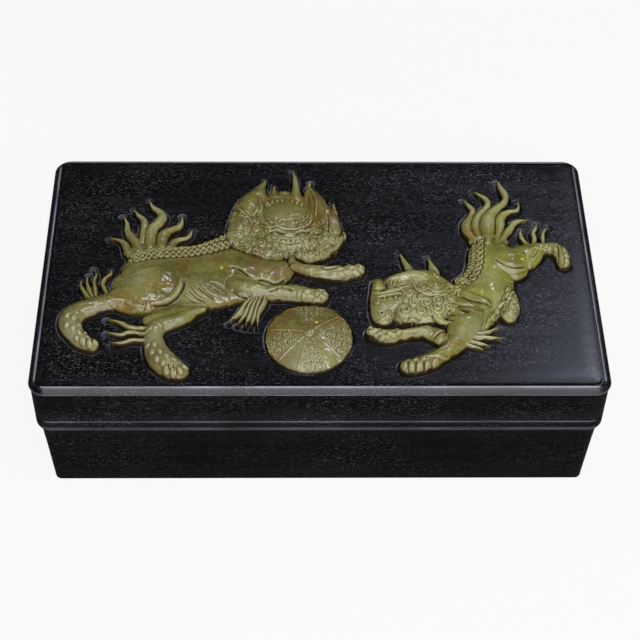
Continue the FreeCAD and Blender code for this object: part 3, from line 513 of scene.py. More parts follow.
def blackwood(name, along):
    # dense black hardwood, planed and waxed: near black, with pale dust in its
    # short open pores, which lie along the grain; the wide recess floor is paled with dust and
    # painted sheen, and edges carry a painted highlight
    material = newMaterial(name)
    place = add(material, "TexCoord").outputs["Object"]

    def stretched(longer, wider):
        scale = [1 / (wider * mm)] * 3
        scale[along] = 1 / (longer * mm)
        return add(material, "Mapping", {"Vector": place, "Scale": scale}).outputs[0]

    def dashes(size):
        grain = add(material, "TexNoise", {
            "Vector": stretched(*size), "Scale": 1.0, "Detail": 1.5, "Roughness": 0.6}).outputs[0]
        return addRamp(material, grain, [(woodLook["poreFrom"], 0.0), (woodLook["poreFull"], 1.0)])

    long = dashes(woodLook["pores"])
    short = dashes(woodLook["smallPores"])
    figure = add(material, "TexNoise", {
        "Vector": stretched(*woodLook["figure"]), "Scale": 1.0, "Detail": 3.0}).outputs[0]
    patches = add(material, "TexNoise", {
        "Vector": stretched(*woodLook["crowding"]), "Scale": 1.0, "Detail": 1.0}).outputs[0]
    dash = numberOf(material, "MAXIMUM", long, numberOf(material, "MULTIPLY", short, 0.7))
    crowd = addRamp(material, patches, [(0.34, 0.34), (0.66, 1.0)])
    dusty = numberOf(material, "MULTIPLY", dash, crowd)
    ground = addRamp(material, figure, [(0.35, woodLook["ground"]), (0.7, woodLook["lighter"])])
    colour = blendColour(material, numberOf(material, "MULTIPLY", dusty, 0.66), ground,
                         linear(woodLook["pore"]))
    # the wide recess floor is paled with dust and painted sheen
    recess = add(material, "Attribute", attribute_name="recess").outputs["Fac"]
    colour = blendColour(material, numberOf(material, "MULTIPLY", recess, 0.5), colour,
                         linear(woodLook["dustAndSheen"]))
    # painted highlight on edges and arrises
    edge = add(material, "Attribute", attribute_name="edge").outputs["Fac"]
    colour = blendColour(material, numberOf(material, "MULTIPLY", edge, 0.8), colour,
                         linear(woodLook["rubbed"]))
    grooves = add(material, "Bump", {"Height": dash, "Strength": 0.3, "Distance": 0.05 * mm})
    grooves.invert = True
    return finishMaterial(material, {
        "Base Color": colour,
        "Roughness": addRamp(material, figure, [(0.3, 0.22), (0.7, 0.3)]),
        "Specular IOR Level": 0.4,
        "Normal": grooves.outputs[0],
    })


stoneLook = {
    # painted values that tint the stone: each one's strength and colour; the pale patches are painted
    # sheen, and the paling of crests is painted highlight
    "washes": {"paintedSheen": (0.7, "#b2b088"), "amber": (0.75, "#6c4a18"), "tint": (0.5, "#80634a"),
               "ridgeHighlight": (0.55, "#b9b482")},
    "veins": "#7d5a22",
    "wax": "#5a4114",
    "deepShadeAndWax": "#1c1206",
    "fleck": "#d8cf57",
}


def soapstone(name, light, middle, dark):
    # soapstone, carved, rubbed smooth and waxed: soft satin, with brown wax and
    # dust in its hollows and thin edges, painted shade in its deepest hollows and sunk sides,
    # and painted highlight and painted sheen where crests and rounded forms are paled
    material = newMaterial(name)
    place = add(material, "TexCoord").outputs["Object"]
    cloud = add(material, "TexNoise", {
        "Vector": place, "Scale": 1 / (14 * mm), "Detail": 4.0, "Roughness": 0.6}).outputs[0]
    fine = add(material, "TexNoise", {
        "Vector": place, "Scale": 1 / (1.6 * mm), "Detail": 3.0}).outputs[0]
    colour = addRamp(material, cloud, [(0.3, dark), (0.5, middle), (0.72, light)])
    mottled = addRamp(material, fine, [(0.3, 0.86), (0.7, 1.08)])
    colour = blendColour(material, 1.0, colour, mottled, "MULTIPLY")
    veins = add(material, "TexNoise", {
        "Vector": place, "Scale": 1 / (19 * mm), "Detail": 5.0, "Distortion": 1.4}).outputs[0]
    rusty = addRamp(material, veins, [(0.53, 0.0), (0.6, 0.6), (0.67, 0.0)])
    colour = blendColour(material, rusty, colour, linear(stoneLook["veins"]))
    for wash, (most, hexColour) in stoneLook["washes"].items():
        amount = add(material, "Attribute", attribute_name=wash).outputs["Fac"]
        colour = blendColour(material, numberOf(material, "MULTIPLY", amount, most), colour,
                             linear(hexColour))
    crease = add(material, "Attribute", attribute_name="crease").outputs["Fac"]
    shallow = addRamp(material, crease, [(0.05, 0.0), (0.6, 0.7)])
    colour = blendColour(material, shallow, colour, linear(stoneLook["wax"]))
    # painted shade: the deepest hollows and the sunk sides go near black, over the wax
    deep = addRamp(material, crease, [(0.5, 0.0), (1.0, 0.85)])
    colour = blendColour(material, deep, colour, linear(stoneLook["deepShadeAndWax"]))
    fleck = add(material, "Attribute", attribute_name="fleck").outputs["Fac"]
    colour = blendColour(material, fleck, colour, linear(stoneLook["fleck"]))
    bumps = add(material, "Bump", {"Height": fine, "Strength": 0.12, "Distance": 0.2 * mm})
    return finishMaterial(material, {
        "Base Color": colour,
        "Roughness": addRamp(material, fine, [(0.3, 0.15), (0.7, 0.24)]),
        "IOR": 1.54,
        "Subsurface Weight": 0.08,
        "Subsurface Radius": (1.2 * mm, 1.1 * mm, 0.5 * mm),
        "Subsurface Scale": 1.0,
        "Normal": bumps.outputs[0],
    })


def silkBrocade(name):
    # yellow-ochre silk brocade, woven with rings and dots in a paler thread every 9 mm;
    # its 0.1 mm threads are drawn as 2.4 mm slubs, which show
    material = newMaterial(name)
    place = add(material, "TexCoord").outputs["Object"]
    cells = add(material, "Mapping", {
        "Vector": place, "Scale": [2 * math.pi / (9 * mm)] * 3,
        "Location": (0, 0, math.pi / 2)}).outputs[0]
    axes = add(material, "SeparateXYZ", {0: cells}).outputs
    waves = [numberOf(material, "COSINE", axis) for axis in axes]
    total = numberOf(material, "ADD", numberOf(material, "ADD", waves[0], waves[1]), waves[2])
    level = add(material, "MapRange", {"Value": total, "From Min": -3.0, "From Max": 3.0}).outputs[0]
    figure = addRamp(material, level, [(0.18, 1.0), (0.21, 0.0), (0.62, 0.0), (0.64, 1.0), (0.69, 1.0),
                                       (0.71, 0.0), (0.78, 0.0), (0.8, 1.0)])
    colour = blendColour(material, figure, linear("#96722c"), linear("#cbac62"))
    thread = add(material, "TexWave", {
        "Vector": place, "Scale": 1 / (2.4 * mm), "Distortion": 1.0, "Detail": 1.0}).outputs[1]
    weave = numberOf(material, "ADD", numberOf(material, "MULTIPLY", figure, 0.7), thread)
    bumps = add(material, "Bump", {"Height": weave, "Strength": 0.35, "Distance": 0.12 * mm})
    return finishMaterial(material, {
        "Base Color": colour,
        "Roughness": addRamp(material, figure, [(0.0, 0.62), (1.0, 0.42)]),
        "Sheen Weight": 0.35,
        "Normal": bumps.outputs[0],
    })


def purpleSlate(name):
    # fine-grained purplish inkstone slate, honed, with ink dried black in its pool
    material = newMaterial(name)
    place = add(material, "TexCoord").outputs["Object"]
    # bedding about 110 mm long and 17 mm wide
    bands = add(material, "Mapping", {"Vector": place, "Scale": (9, 60, 60)}).outputs[0]
    cloud = add(material, "TexNoise", {
        "Vector": bands, "Scale": 1.0, "Detail": 5.0, "Distortion": 0.6}).outputs[0]
    grain = add(material, "TexNoise", {
        "Vector": place, "Scale": 1 / (0.5 * mm), "Detail": 2.0}).outputs[0]
    colour = addRamp(material, cloud, [(0.3, "#3c3238"), (0.52, "#4d4248"), (0.72, "#61545a")])
    ink = add(material, "Attribute", attribute_name="ink").outputs["Fac"]
    colour = blendColour(material, ink, colour, linear("#0b0b0d"))
    bumps = add(material, "Bump", {"Height": grain, "Strength": 0.15, "Distance": 0.08 * mm})
    return finishMaterial(material, {
        "Base Color": colour,
        "Roughness": addRamp(material, ink, [(0.0, 0.46), (1.0, 0.24)]),
        "Normal": bumps.outputs[0],
    })


def pressedInk(name):
    # lampblack and glue pressed in a mould, with a worn gilt border
    material = newMaterial(name)
    place = add(material, "TexCoord").outputs["Object"]
    grain = add(material, "TexNoise", {
        "Vector": place, "Scale": 1 / (1.2 * mm), "Detail": 3.0}).outputs[0]
    gilt = add(material, "Attribute", attribute_name="gilt").outputs["Fac"]
    kept = numberOf(material, "MULTIPLY", gilt, addRamp(material, grain, [(0.36, 0.2), (0.46, 1.0)]))
    colour = blendColour(material, kept, linear("#101013"), linear("#c69a45"))
    return finishMaterial(material, {
        "Base Color": colour,
        "Metallic": kept,
        "Roughness": addRamp(material, grain, [(0.3, 0.3), (0.7, 0.42)]),
    })


woodAlongX = blackwood("waxed_blackwood", 0)
woodAlongY = blackwood("waxed_blackwood_end_walls", 1)
oliveStone = soapstone("waxed_olive_soapstone", "#928c47", "#777334", "#5a5223")
brocade = silkBrocade("ochre_silk_brocade")
slateStone = purpleSlate("honed_purple_slate")
inkBlack = pressedInk("pressed_ink_gilt")
yellowStone = soapstone("waxed_yellow_soapstone", "#a19d50", "#878538", "#6b6727")
print("materials ready")


# Carved detail: each form adds to or takes from the height near it

def toEllipse(spots, x, y, longer, wider, turn):
    angle = math.radians(turn)
    across = spots - (x, y)
    u = (across[:, 0] * math.cos(angle) + across[:, 1] * math.sin(angle)) / longer
    v = (-across[:, 0] * math.sin(angle) + across[:, 1] * math.cos(angle)) / wider
    return u, v


def boss(spots, x, y, longer, wider, turn, height):
    # a raised oval with a crisp foot
    u, v = toEllipse(spots, x, y, longer, wider, turn)
    return height * rounded(np.hypot(u, v))


def swell(spots, x, y, longer, wider, turn, height):
    # a soft mound that runs out into the surface around it
    u, v = toEllipse(spots, x, y, longer, wider, turn)
    return height * np.clip(1 - u ** 2 - v ** 2, 0, 1) ** 1.7


def bead(spots, x, y, radius, height):
    return boss(spots, x, y, radius, radius, 0, height)


def ring(spots, x, y, radius, height):
    away = np.hypot(spots[:, 0] - x, spots[:, 1] - y) / radius
    crest = height * np.exp(-((away - 0.68) / 0.24) ** 2)
    foot = 0.5 * height * np.exp(-((away - 1.12) / 0.16) ** 2)
    return crest - foot


def curl(spots, x, y, radius, height, turn=0, hand=1, turns=1.7):
    # a lock of hair rolled into a snail
    across = spots - (x, y)
    away = np.hypot(across[:, 0], across[:, 1]) / radius
    angle = np.arctan2(across[:, 1], across[:, 0]) * hand + math.radians(turn)
    wave = np.cos(2 * math.pi * (away * turns) - angle)
    inside = away < 1
    button = height * rounded(away)
    return np.where(inside, button + 0.42 * height * wave * np.clip(1.15 - away, 0, 1), 0)


def pile(spots, curls, height):
    # snail curls heaped against each other, with deep gaps between them
    top = np.zeros(len(spots))
    for x, y, radius, turn, hand, turns in curls:
        near = np.nonzero((np.abs(spots - (x, y)) < 1.2 * radius).all(1))[0]
        across = spots[near] - (x, y)
        away = np.hypot(across[:, 0], across[:, 1]) / radius
        angle = np.arctan2(across[:, 1], across[:, 0]) * hand + math.radians(turn)
        wave = np.cos(2 * math.pi * away * turns - angle) * np.clip(1.25 - away, 0, 1)
        tall = height * (0.55 + 0.45 * radius / 2.2)
        top[near] = np.maximum(top[near], tall * (1 - 0.7 * away ** 2) + 0.3 * tall * wave)
    return top


def heap(spots, tufts, height):
    # short tufts of fur lying over each other, each with a hair line or two
    top = np.zeros(len(spots))
    for x, y, longer, wider, turn in tufts:
        near = np.nonzero((np.abs(spots - (x, y)) < 1.2 * longer).all(1))[0]
        u, v = toEllipse(spots[near], x, y, longer, wider, turn)
        away = np.hypot(u, v)
        grain = np.cos(v * 9 + u * 2) * np.clip(1 - away, 0, 1)
        # each rises along its length to a blunt end
        rise = height * (1 - away ** 2) * (0.75 + 0.45 * u) + 0.12 * height * grain
        top[near] = np.maximum(top[near], np.where(away < 1.1, rise, 0))
    return top


def combed(spots, start, end, count, slant, width, height):
    # short parallel hair lines set side by side
    result = np.zeros(len(spots))
    for x, y in np.linspace(start, end, count):
        reach = [(x - slant[0] / 2, y - slant[1] / 2), (x + slant[0] * 0.1, y + slant[1] * 0.2),
                 (x + slant[0] / 2, y + slant[1] / 2)]
        result += crest(spots, reach, width, height)
    return result


def fan(spots, x, y, longer, wider, turn, height, strands=7):
    # a raised lobe with fine hair lines that spread from its foot
    u, v = toEllipse(spots, x, y, longer, wider, turn)
    away = np.hypot(u, v)
    angle = np.arctan2(v, u + 1.2)
    furrow = 0.5 * np.cos(angle * strands * 4) - 0.5
    return np.where(away < 1, height * (rounded(away) + 0.28 * furrow * (1 - away ** 4)), 0)


def shell(spots, x, y, radius, turn, height, rings=3):
    # a rolled lock seen from its end, with ridges round one side
    across = spots - (x, y)
    away = np.hypot(across[:, 0], across[:, 1]) / radius
    facing = 0.5 + 0.5 * np.cos(np.arctan2(across[:, 1], across[:, 0]) - math.radians(turn))
    ridges = (0.5 - 0.5 * np.cos(2 * math.pi * away * rings)) * facing
    top = 0.7 * rounded(away) + 0.5 * ridges * np.clip(2 - 2 * away, 0, 1)
    return np.where(away < 1, height * top, 0)


def lift(spots, stations, height):
    # a raised lock, fold or lid with a round back
    outside, share, side, along = acrossLine(spots, smoothLine(stations))
    return np.where(share < 1, height * rounded(share), 0)


def dent(spots, stations, depth):
    outside, share, side, along = acrossLine(spots, smoothLine(stations))
    return np.where(share < 1, -depth * (1 - share ** 2) ** 2, 0)


def cut(spots, stations, width, depth):
    # a line cut with a gouge, fading out at its ends
    line = smoothLine([(x, y, width) for x, y in stations])
    outside, share, side, along = acrossLine(spots, line, width * 1.5)
    length = np.hypot(*np.diff(line[:, :2], axis=0).T).sum()
    ends = np.clip(np.minimum(along, length - along) / (2.5 * width) + 0.15, 0, 1)
    return np.where(share < 2.5, -depth * np.exp(-share ** 2 * 2) * ends, 0)


def crest(spots, stations, width, height):
    return -cut(spots, stations, width, height)


def ledge(spots, stations, reach, height):
    # the side on the left of the line stands higher, and falls off away from it
    line = smoothLine([(x, y, reach) for x, y in stations])
    outside, share, side, along = acrossLine(spots, line)
    length = np.hypot(*np.diff(line[:, :2], axis=0).T).sum()
    ends = np.clip(np.minimum(along, length - along) / 2.5, 0, 1)
    upper = height * np.clip(1 - np.abs(side), 0, 1) ** 1.5 * np.clip(side * reach / 0.35 + 0.5, 0, 1)
    return np.where(share < 1, upper * ends, 0)


def hair(spots, stations, strands, depth):
    # fine lines along a lock
    outside, share, side, along = acrossLine(spots, smoothLine(stations))
    furrow = 0.5 - 0.5 * np.cos(side * math.pi * strands)
    return np.where(share < 1, -depth * furrow * (1 - share ** 4), 0)


def rosette(spots, x, y, radius, height, petals=9):
    # a small chrysanthemum of the brocade
    across = spots - (x, y)
    away = np.hypot(across[:, 0], across[:, 1]) / radius
    angle = np.arctan2(across[:, 1], across[:, 0])
    petal = (0.5 + 0.5 * np.cos(angle * petals)) * np.clip((away - 0.22) / 0.2, 0, 1) * (away < 0.95)
    eye = np.exp(-(away / 0.2) ** 2)
    return height * np.where(away < 1.1, petal * (1 - 0.5 * away) + eye - 0.35, 0)


def alongLine(stations, pitch):
    # evenly spaced places along a line
    line = smoothLine([(x, y, 0) for x, y in stations])[:, :2]
    steps = np.hypot(*np.diff(line, axis=0).T)
    travelled = np.concatenate([[0], np.cumsum(steps)])
    places = np.arange(0, travelled[-1], pitch)
    return [(np.interp(t, travelled, line[:, 0]), np.interp(t, travelled, line[:, 1])) for t in places]


def row(shape, stations, pitch, *sizes):
    return [(shape, x, y, *sizes) for x, y in alongLine(stations, pitch)]


def candidates(name, count, inset):
    # random places on a stone, at least inset from its edge
    rng = np.random.default_rng(seed)
    low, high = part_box(name)
    places = rng.uniform((low.x / mm, low.y / mm), (high.x / mm, high.y / mm), (count, 2))
    return places[outlineOf(name, places) < -inset], rng


def packCurls(name, radii, closeness, free, byHand):
    # curls of falling size wherever the stone has room, close against each other;
    # free tells where they may lie, and byHand lists the larger ones
    places, rng = candidates(name, 5200, 0.7)
    places = places[free(places)]
    found = list(byHand)
    share = len(places) // len(radii)
    for step, radius in enumerate(radii):
        for x, y in places[step * share:(step + 1) * share]:
            if all(math.hypot(x - other[0], y - other[1]) > closeness * (radius + other[2])
                   for other in found):
                hand = 1 if rng.random() < 0.5 else -1
                found.append((x, y, radius, rng.uniform(0, 360), hand, radius * 0.62))
    return found


def packTufts(name, stations, longer, wider, turn, closeness=0.8):
    # tufts all over a stroke-shaped patch, lying roughly one way
    places, rng = candidates(name, 9000, 0.5)
    within = acrossLine(places, smoothLine(stations))[1] < 1
    found = []
    for x, y in places[within]:
        size = rng.uniform(0.75, 1.15)
        apart = closeness * 2 * wider * size
        if all(math.hypot(x - other[0], y - other[1]) > apart for other in found):
            found.append((x, y, longer * size, wider * size, turn + rng.uniform(-35, 35)))
    return found


def clearOf(areas, low=-99, high=99):
    # true away from the ovals listed
    def free(places):
        fine = (places[:, 1] > low) & (places[:, 1] < high)
        for x, y, longer, wider in areas:
            fine &= np.hypot((places[:, 0] - x) / longer, (places[:, 1] - y) / wider) > 1
        return fine
    return free


# the large lion's mane: curls listed one by one, as x, y, radius, turn, hand and turns, and the
# ovals that the smaller curls keep clear of, as x, y and two half widths
largeCurls = [
    (-27.2, 10.4, 3.0, 40, 1, 1.9), (-29.2, 5.6, 3.2, 200, -1, 2.0), (-31.6, 14.6, 2.4, 90, 1, 1.5),
    (-33.6, 8.4, 2.4, 10, -1, 1.5), (-24, 6, 2.4, 300, 1, 1.5), (-27.6, 16.8, 2.3, 0, 1, 1.5),
    (0.8, 11.4, 2.2, 120, -1, 1.5), (-2.2, 16.4, 2.0, 20, 1, 1.4), (-34.4, 24.6, 2.3, 150, 1, 1.5),
    (2.6, 17.4, 2.1, 220, -1, 1.4), (-3.8, 4.6, 2.4, 0, -1, 1.5), (2, 4.6, 2.2, 90, 1, 1.4),
    (6.4, 13.4, 2.0, 200, 1, 1.4), (-17, 4.4, 2.2, 45, -1, 1.5), (-10.4, 4.2, 2.2, 300, 1, 1.5),
]
headForms = [(-15.6, 29.4, 11, 9.4), (-13.6, 15.6, 7.4, 5.2), (-31.6, 38, 7.4, 10.4),
             (-27.4, 30, 3.2, 10), (8, 23, 3.4, 9), (-17, 41.4, 14, 5), (-2.4, 38, 7.4, 13),
             (-41, 20, 3.4, 7.6), (-36.8, 12, 3.6, 3.8), (11.8, 14, 2, 7), (-11.6, 52, 4.6, 12),
             (-27.4, 51, 4, 9), (-21.6, 48, 3, 6), (5, 34, 3.6, 5), (-38, 25, 3, 4), (-13.4, 1, 4, 3.4)]

# forms on each stone: a function and its sizes, with places from the middle of the lid
details = {
    "large_lion_head": [
        # the forehead, with curly fur over its lower edge
        (boss, -15.6, 31.2, 9.8, 6.4, 0, 1.5), (lift, [(-13.4, 26, 2.4), (-13.2, 21.6, 1.6)], 0.5),
        (heap, [(-24, 26.6, 1.6, 0.8, 140), (-22.6, 24.2, 1.6, 0.8, 160), (-20.6, 26, 1.5, 0.7, 20),
                (-20.4, 23.4, 1.6, 0.7, 170), (-18.4, 24.8, 1.4, 0.6, 40), (-17.4, 22.6, 1.5, 0.7, 10),
                (-24.6, 22, 1.6, 0.8, 150), (-8.8, 25, 1.5, 0.7, 60), (-7, 27, 1.6, 0.8, 100),
                (-6.2, 24.4, 1.6, 0.8, 70), (-8.4, 22.6, 1.5, 0.7, 30), (-5.2, 29.4, 1.6, 0.7, 110),
                (-10.4, 24, 1.2, 0.6, 30), (-4, 26.8, 1.5, 0.7, 80)], 0.8),
        (lift, [(-27, 22.6, 0.3), (-24, 20.2, 0.6), (-20.6, 20.8, 0.55), (-17, 19.8, 0.6),
                (-13.4, 19.4, 0.6), (-10, 19.8, 0.55), (-7, 21, 0.6), (-4, 24, 0.5),
                (-2.6, 27, 0.3)], 0.8),
        # eyes, nose, and the moustache in pale tufts
        (dent, [(-23.4, 17.6, 1), (-20.4, 17.4, 1.6), (-17, 16.8, 1)], 1.1),
        (dent, [(-10.4, 16.8, 1), (-7.4, 17.4, 1.6), (-4.6, 18.4, 1)], 1.1),
        (boss, -20.4, 17, 1.8, 0.9, -6, 1.0), (boss, -7.6, 17.2, 1.8, 0.9, 10, 1.0),
        (lift, [(-23.6, 18.2, 0.3), (-20.4, 18.7, 0.5), (-17, 17.8, 0.3)], 0.6),
        (lift, [(-10.6, 17.8, 0.3), (-7.6, 18.8, 0.5), (-4.6, 19.4, 0.3)], 0.6),
        (boss, -13.8, 16, 2.3, 1.5, 0, 1.2), (bead, -15.6, 15.2, 0.7, 0.5), (bead, -12, 15.2, 0.7, 0.5),
        (heap, [(-20.8, 13.4, 1.5, 0.7, 160), (-18.8, 12.4, 1.5, 0.8, 170),
                (-16.6, 12.1, 1.4, 0.8, 185), (-14.4, 11.9, 1.3, 0.8, 180), (-12.2, 12, 1.3, 0.8, 0),
                (-10, 12.2, 1.4, 0.8, 10), (-7.8, 12.6, 1.5, 0.8, 20),
                (-5.6, 13.8, 1.5, 0.7, 40)], 1.1),
        (cut, [(-22.4, 15), (-18.6, 13.9), (-14, 13.4), (-9.4, 13.9), (-5.4, 15.4)], 0.4, 0.5),
        (cut, [(-19.4, 10.6), (-14, 10.2), (-8.4, 10.6)], 0.5, 0.9),
        # hair band, straps, leaves and horns
        (heap, [(-25, 37, 1.5, 1.0, 60), (-22.4, 38.3, 1.5, 1.0, 80), (-19.8, 38.9, 1.4, 1.0, 90),
                (-17.4, 39.2, 1.3, 0.9, 90), (-12.6, 38.8, 1.4, 0.9, 80), (-10.2, 38, 1.5, 0.9, 70),
                (-8, 36.8, 1.5, 0.9, 60)], 1.1),
        (hair, [(-27, 41.4, 1.2), (-19, 42.4, 1.8), (-13.6, 42.2, 1.2)], 3, 0.3),
        (lift, [(-28, 42, 0.4), (-27.6, 36, 1.3), (-28, 30, 1.3), (-26.6, 25.6, 1.2),
                (-24.8, 22.6, 0.6)], 0.9),
        (lift, [(-3.6, 31, 0.4), (-3.4, 27, 0.8), (-4.6, 22.6, 0.5)], 0.8),
        (boss, -32.6, 37.6, 5.4, 8.6, 24, 1.0),
        (crest, [(-34.4, 38.6), (-31.4, 36), (-29.2, 33)], 0.5, 0.6),
        (lift, [(-31.2, 30, 0.4), (-29.8, 33, 1.0), (-28.9, 37, 0.4)], 1.0),
        (lift, [(-38.6, 33, 0.4), (-36.4, 30.4, 0.6), (-33.6, 28, 0.6), (-31.4, 24, 0.4)], 0.9),
        (crest, [(-4.4, 50), (-2, 43.4), (-1, 37), (-1.4, 31)], 0.6, 0.9),
        (crest, [(2.6, 40.4), (3.8, 36), (3.4, 31)], 0.5, 0.7),
        (dent, [(-4.8, 44, 0.8), (-4.4, 37, 1.8), (-3.6, 32, 0.8)], 0.5),
        (bead, 4.4, 32, 1.0, 0.9), (boss, 8, 23.6, 2.8, 6.4, 6, 1.6),
        (dent, [(4.4, 30, 0.7), (4.8, 24, 0.8), (4.6, 18, 0.6)], 0.8),
        # rolled locks on the left, the leaf and thin ridges of the rim
        (fan, -40.6, 20.4, 4.2, 6.4, 0, 0.7, 6), (boss, -37.4, 21.6, 2.0, 3.0, -15, 0.8),
        (shell, -36.4, 12.2, 4.2, 290, 0.9, 3), (shell, -34, 18.6, 3.0, 330, 0.7, 2),
        (lift, [(12.4, 18, 0.5), (13, 14.4, 0.7), (10.4, 9.6, 0.6), (7, 5, 0.6), (3, 1, 0.6),
                (-1.6, -1.4, 0.5), (-5, -2, 0.5), (-8.4, -1, 0.5), (-10.8, 1.6, 0.5),
                (-13, 3, 0.3)], 0.8),
        (lift, [(10.8, 17, 0.4), (10.6, 13, 0.6), (8.4, 9, 0.6), (5, 5.4, 0.3)], 0.8),
        (lift, [(-37, 5.6, 0.3), (-34, 3.2, 0.5), (-29, 1.8, 0.5), (-24, 0.4, 0.5), (-20, -0.8, 0.5),
                (-17.4, -0.4, 0.5), (-15.4, 2, 0.4), (-13.4, 3.4, 0.3)], 0.8),
        (pile, packCurls("large_lion_head", (2.3, 1.9, 1.5, 1.2), 0.76, clearOf(headForms),
                         largeCurls), 0.9),
    ],
    "large_lion_near_foreleg": [
        (swell, -33.4, -14.8, 10.6, 6.8, -12, 1.3),
        (lift, [(-41.4, -19, 0.4), (-38.6, -19.9, 0.7), (-35, -20.4, 0.7), (-32.4, -22.4, 0.4)], 0.4),
        (cut, [(-23.6, -19.8), (-20.4, -18.6), (-18.4, -17.4), (-15, -18.2), (-12.4, -19.4)], 0.7, 0.8),
        (lift, [(-18.6, -17, 0.5), (-15.4, -17.4, 0.8), (-12.4, -18.6, 0.5)], 0.5),
        (heap, [(-16, -13.4, 1.8, 0.9, 200), (-13.2, -13.2, 2, 0.9, 190), (-10, -13.6, 2, 0.9, 185),
                (-7, -14.4, 1.8, 0.9, 180), (-9.4, -20.6, 2.0, 1.1, 250), (-7.4, -21.6, 1.8, 1.0, 270),
                (-5.4, -19.4, 2.2, 1.5, 200)], 0.75),
        (boss, 0.2, -16.8, 2.4, 1.3, -35, 1.1), (boss, 2.8, -17.6, 1.7, 1.3, -60, 1.2),
        (boss, 3.4, -20, 1.6, 1.4, 0, 1.2), (boss, 2.8, -22.6, 1.7, 1.3, 20, 1.1),
        (boss, -0.4, -21.6, 2.2, 1.4, -10, 0.9), (boss, -1.4, -24, 2.0, 1.2, 0, 0.8),
        (cut, [(-1.6, -23.6), (0.4, -21.4), (2, -21.4)], 0.4, 0.7),
        (cut, [(-1.4, -18.6), (1, -19), (3.4, -18.8)], 0.4, 0.7),
    ],
    "large_lion_far_foreleg": [
        (cut, [(9.6, -4), (6, -5.4), (2, -5.6), (1, -3.8), (4, -2.8)], 0.45, 0.7),
        (lift, [(2.4, -5, 0.5), (5.6, -4.4, 0.9), (9.6, -2.8, 0.5)], 0.6),
        (lift, [(-9.4, -6.4, 0.4), (-4, -8.2, 0.8), (2, -8.8, 0.8), (8, -9.6, 0.9),
                (12, -8.6, 0.5)], 0.35),
        (boss, 19.4, -0.6, 2.4, 1.3, 15, 1.1), (boss, 20.8, -3, 2.2, 1.3, 0, 1.2),
        (boss, 20.2, -5.4, 2.2, 1.3, -10, 1.1),
        (boss, 17.6, -7.4, 2.4, 1.2, -20, 1.0),
        (heap, [(13.4, -1.4, 2.4, 1.3, 10), (14.6, -4.2, 2.4, 1.4, 0), (13.4, -7, 2.4, 1.4, -10),
                (10, -8, 2.2, 1.4, -10), (9.6, -5.2, 2.2, 1.2, 0)], 0.8),
    ],
    "large_lion_body": [
        # the haunch and its folds
        (swell, -79.5, -12.4, 19, 14, 14, 1.8), (swell, -52, -6, 16, 12, 8, 0.6),
        (cut, [(-62.4, -12.6), (-62.8, -17), (-65.6, -21.6), (-70, -25), (-76, -27)], 0.8, 1.3),
        (lift, [(-64, -12.4, 0.5), (-65, -17.4, 1.3), (-67.6, -21.4, 1.5), (-72, -24.6, 1.2),
                (-77, -26, 0.5)], 0.6),
        (lift, [(-95, -24, 0.4), (-90, -24.4, 0.9), (-85, -26.6, 1.0), (-81, -27.4, 0.5)], 0.45),
        (boss, -78.8, -27, 1.6, 2.4, 30, 0.7),
        (cut, [(-80.6, -29.6), (-79.6, -27), (-80, -24.6)], 0.5, 0.6),
        # folds of the belly
        (lift, [(-62, -20.6, 0.3), (-58, -23.4, 0.6), (-53.6, -25.2, 0.3)], 0.7),
        (lift, [(-59, -16.6, 0.3), (-55.4, -20.4, 0.7), (-50.6, -23.2, 0.3)], 0.8),
        (lift, [(-54.6, -16, 0.3), (-50.6, -19.6, 0.7), (-46, -22, 0.3)], 0.8),
        (lift, [(-50.4, -13.8, 0.4), (-47, -14.6, 0.8), (-44, -16.6, 0.4)], 0.5),
        (cut, [(-60.6, -18.4), (-57, -21.8), (-52.4, -24.4)], 0.5, 0.7),
        (cut, [(-56.6, -16.6), (-53, -19.8), (-48.6, -22.8)], 0.5, 0.7),
        (cut, [(-51.6, -15.6), (-48.4, -17.8), (-44.4, -20.6)], 0.5, 0.6),
        # the drape of the chest over the shoulder
        (ledge, [(-43, -5), (-37.6, -6.2), (-34.6, -8.6), (-31.6, -11.4), (-29.4, -12.2), (-27, -11.4),
                 (-24, -11.8), (-20.8, -12.6), (-18, -11.4), (-15, -9)], 6, 1.1),
        (cut, [(-41, -5.6), (-37.6, -6.6), (-34.6, -9), (-31.6, -11.8), (-29.4, -12.6), (-27, -11.8),
               (-24, -12.2), (-20.8, -13), (-18, -11.8), (-15.6, -10)], 0.45, 0.5),
        (lift, [(-92, -11, 0.8), (-84, -9.6, 1.3), (-76, -7, 0.8)], 0.2),
        (cut, [(-88, -18), (-80, -16), (-75, -16)], 0.7, 0.2),
    ] + row(ring, [(-87.4, 3.6), (-78, 6.4), (-69, 7.6), (-60, 8.4), (-53, 10.6), (-47, 14),
                   (-43, 16.6)], 2.9, 1.65, 1.1)
    + row(ring, [(-85.4, 0.8), (-78, 3.2), (-69, 4.2), (-60, 5), (-52, 7), (-46, 10),
                 (-40, 13)], 2.9, 1.65, 1.1),
    "large_lion_near_hind_leg": [
        (combed, (-99.6, -24.4), (-95, -23.6), 5, (1.2, -3.2), 0.34, 0.6),
        (lift, [(-110, -27.4, 0.5), (-106, -26.2, 0.9), (-101.4, -25.6, 0.6)], 0.3),
        (heap, [(-114.6, -33.4, 2.2, 1.6, 250), (-111.2, -34.6, 2.2, 1.5, 250),
                (-108.4, -37.4, 2.3, 1.5, 240), (-114.6, -38.8, 2.2, 1.5, 270),
                (-111.4, -40.6, 2.3, 1.5, 270), (-108.4, -43, 2.2, 1.4, 280),
                (-105.4, -41.6, 2, 1.3, 250), (-104.6, -45.2, 2, 1.3, 280),
                (-109.6, -46.4, 1.8, 1.2, 280)], 1.1),
        (boss, -106.4, -48.6, 1.5, 2.0, 20, 1.1), (boss, -103.4, -50, 1.4, 2.0, 20, 1.2),
        (boss, -100.6, -48.6, 1.3, 1.9, 40, 1.2),
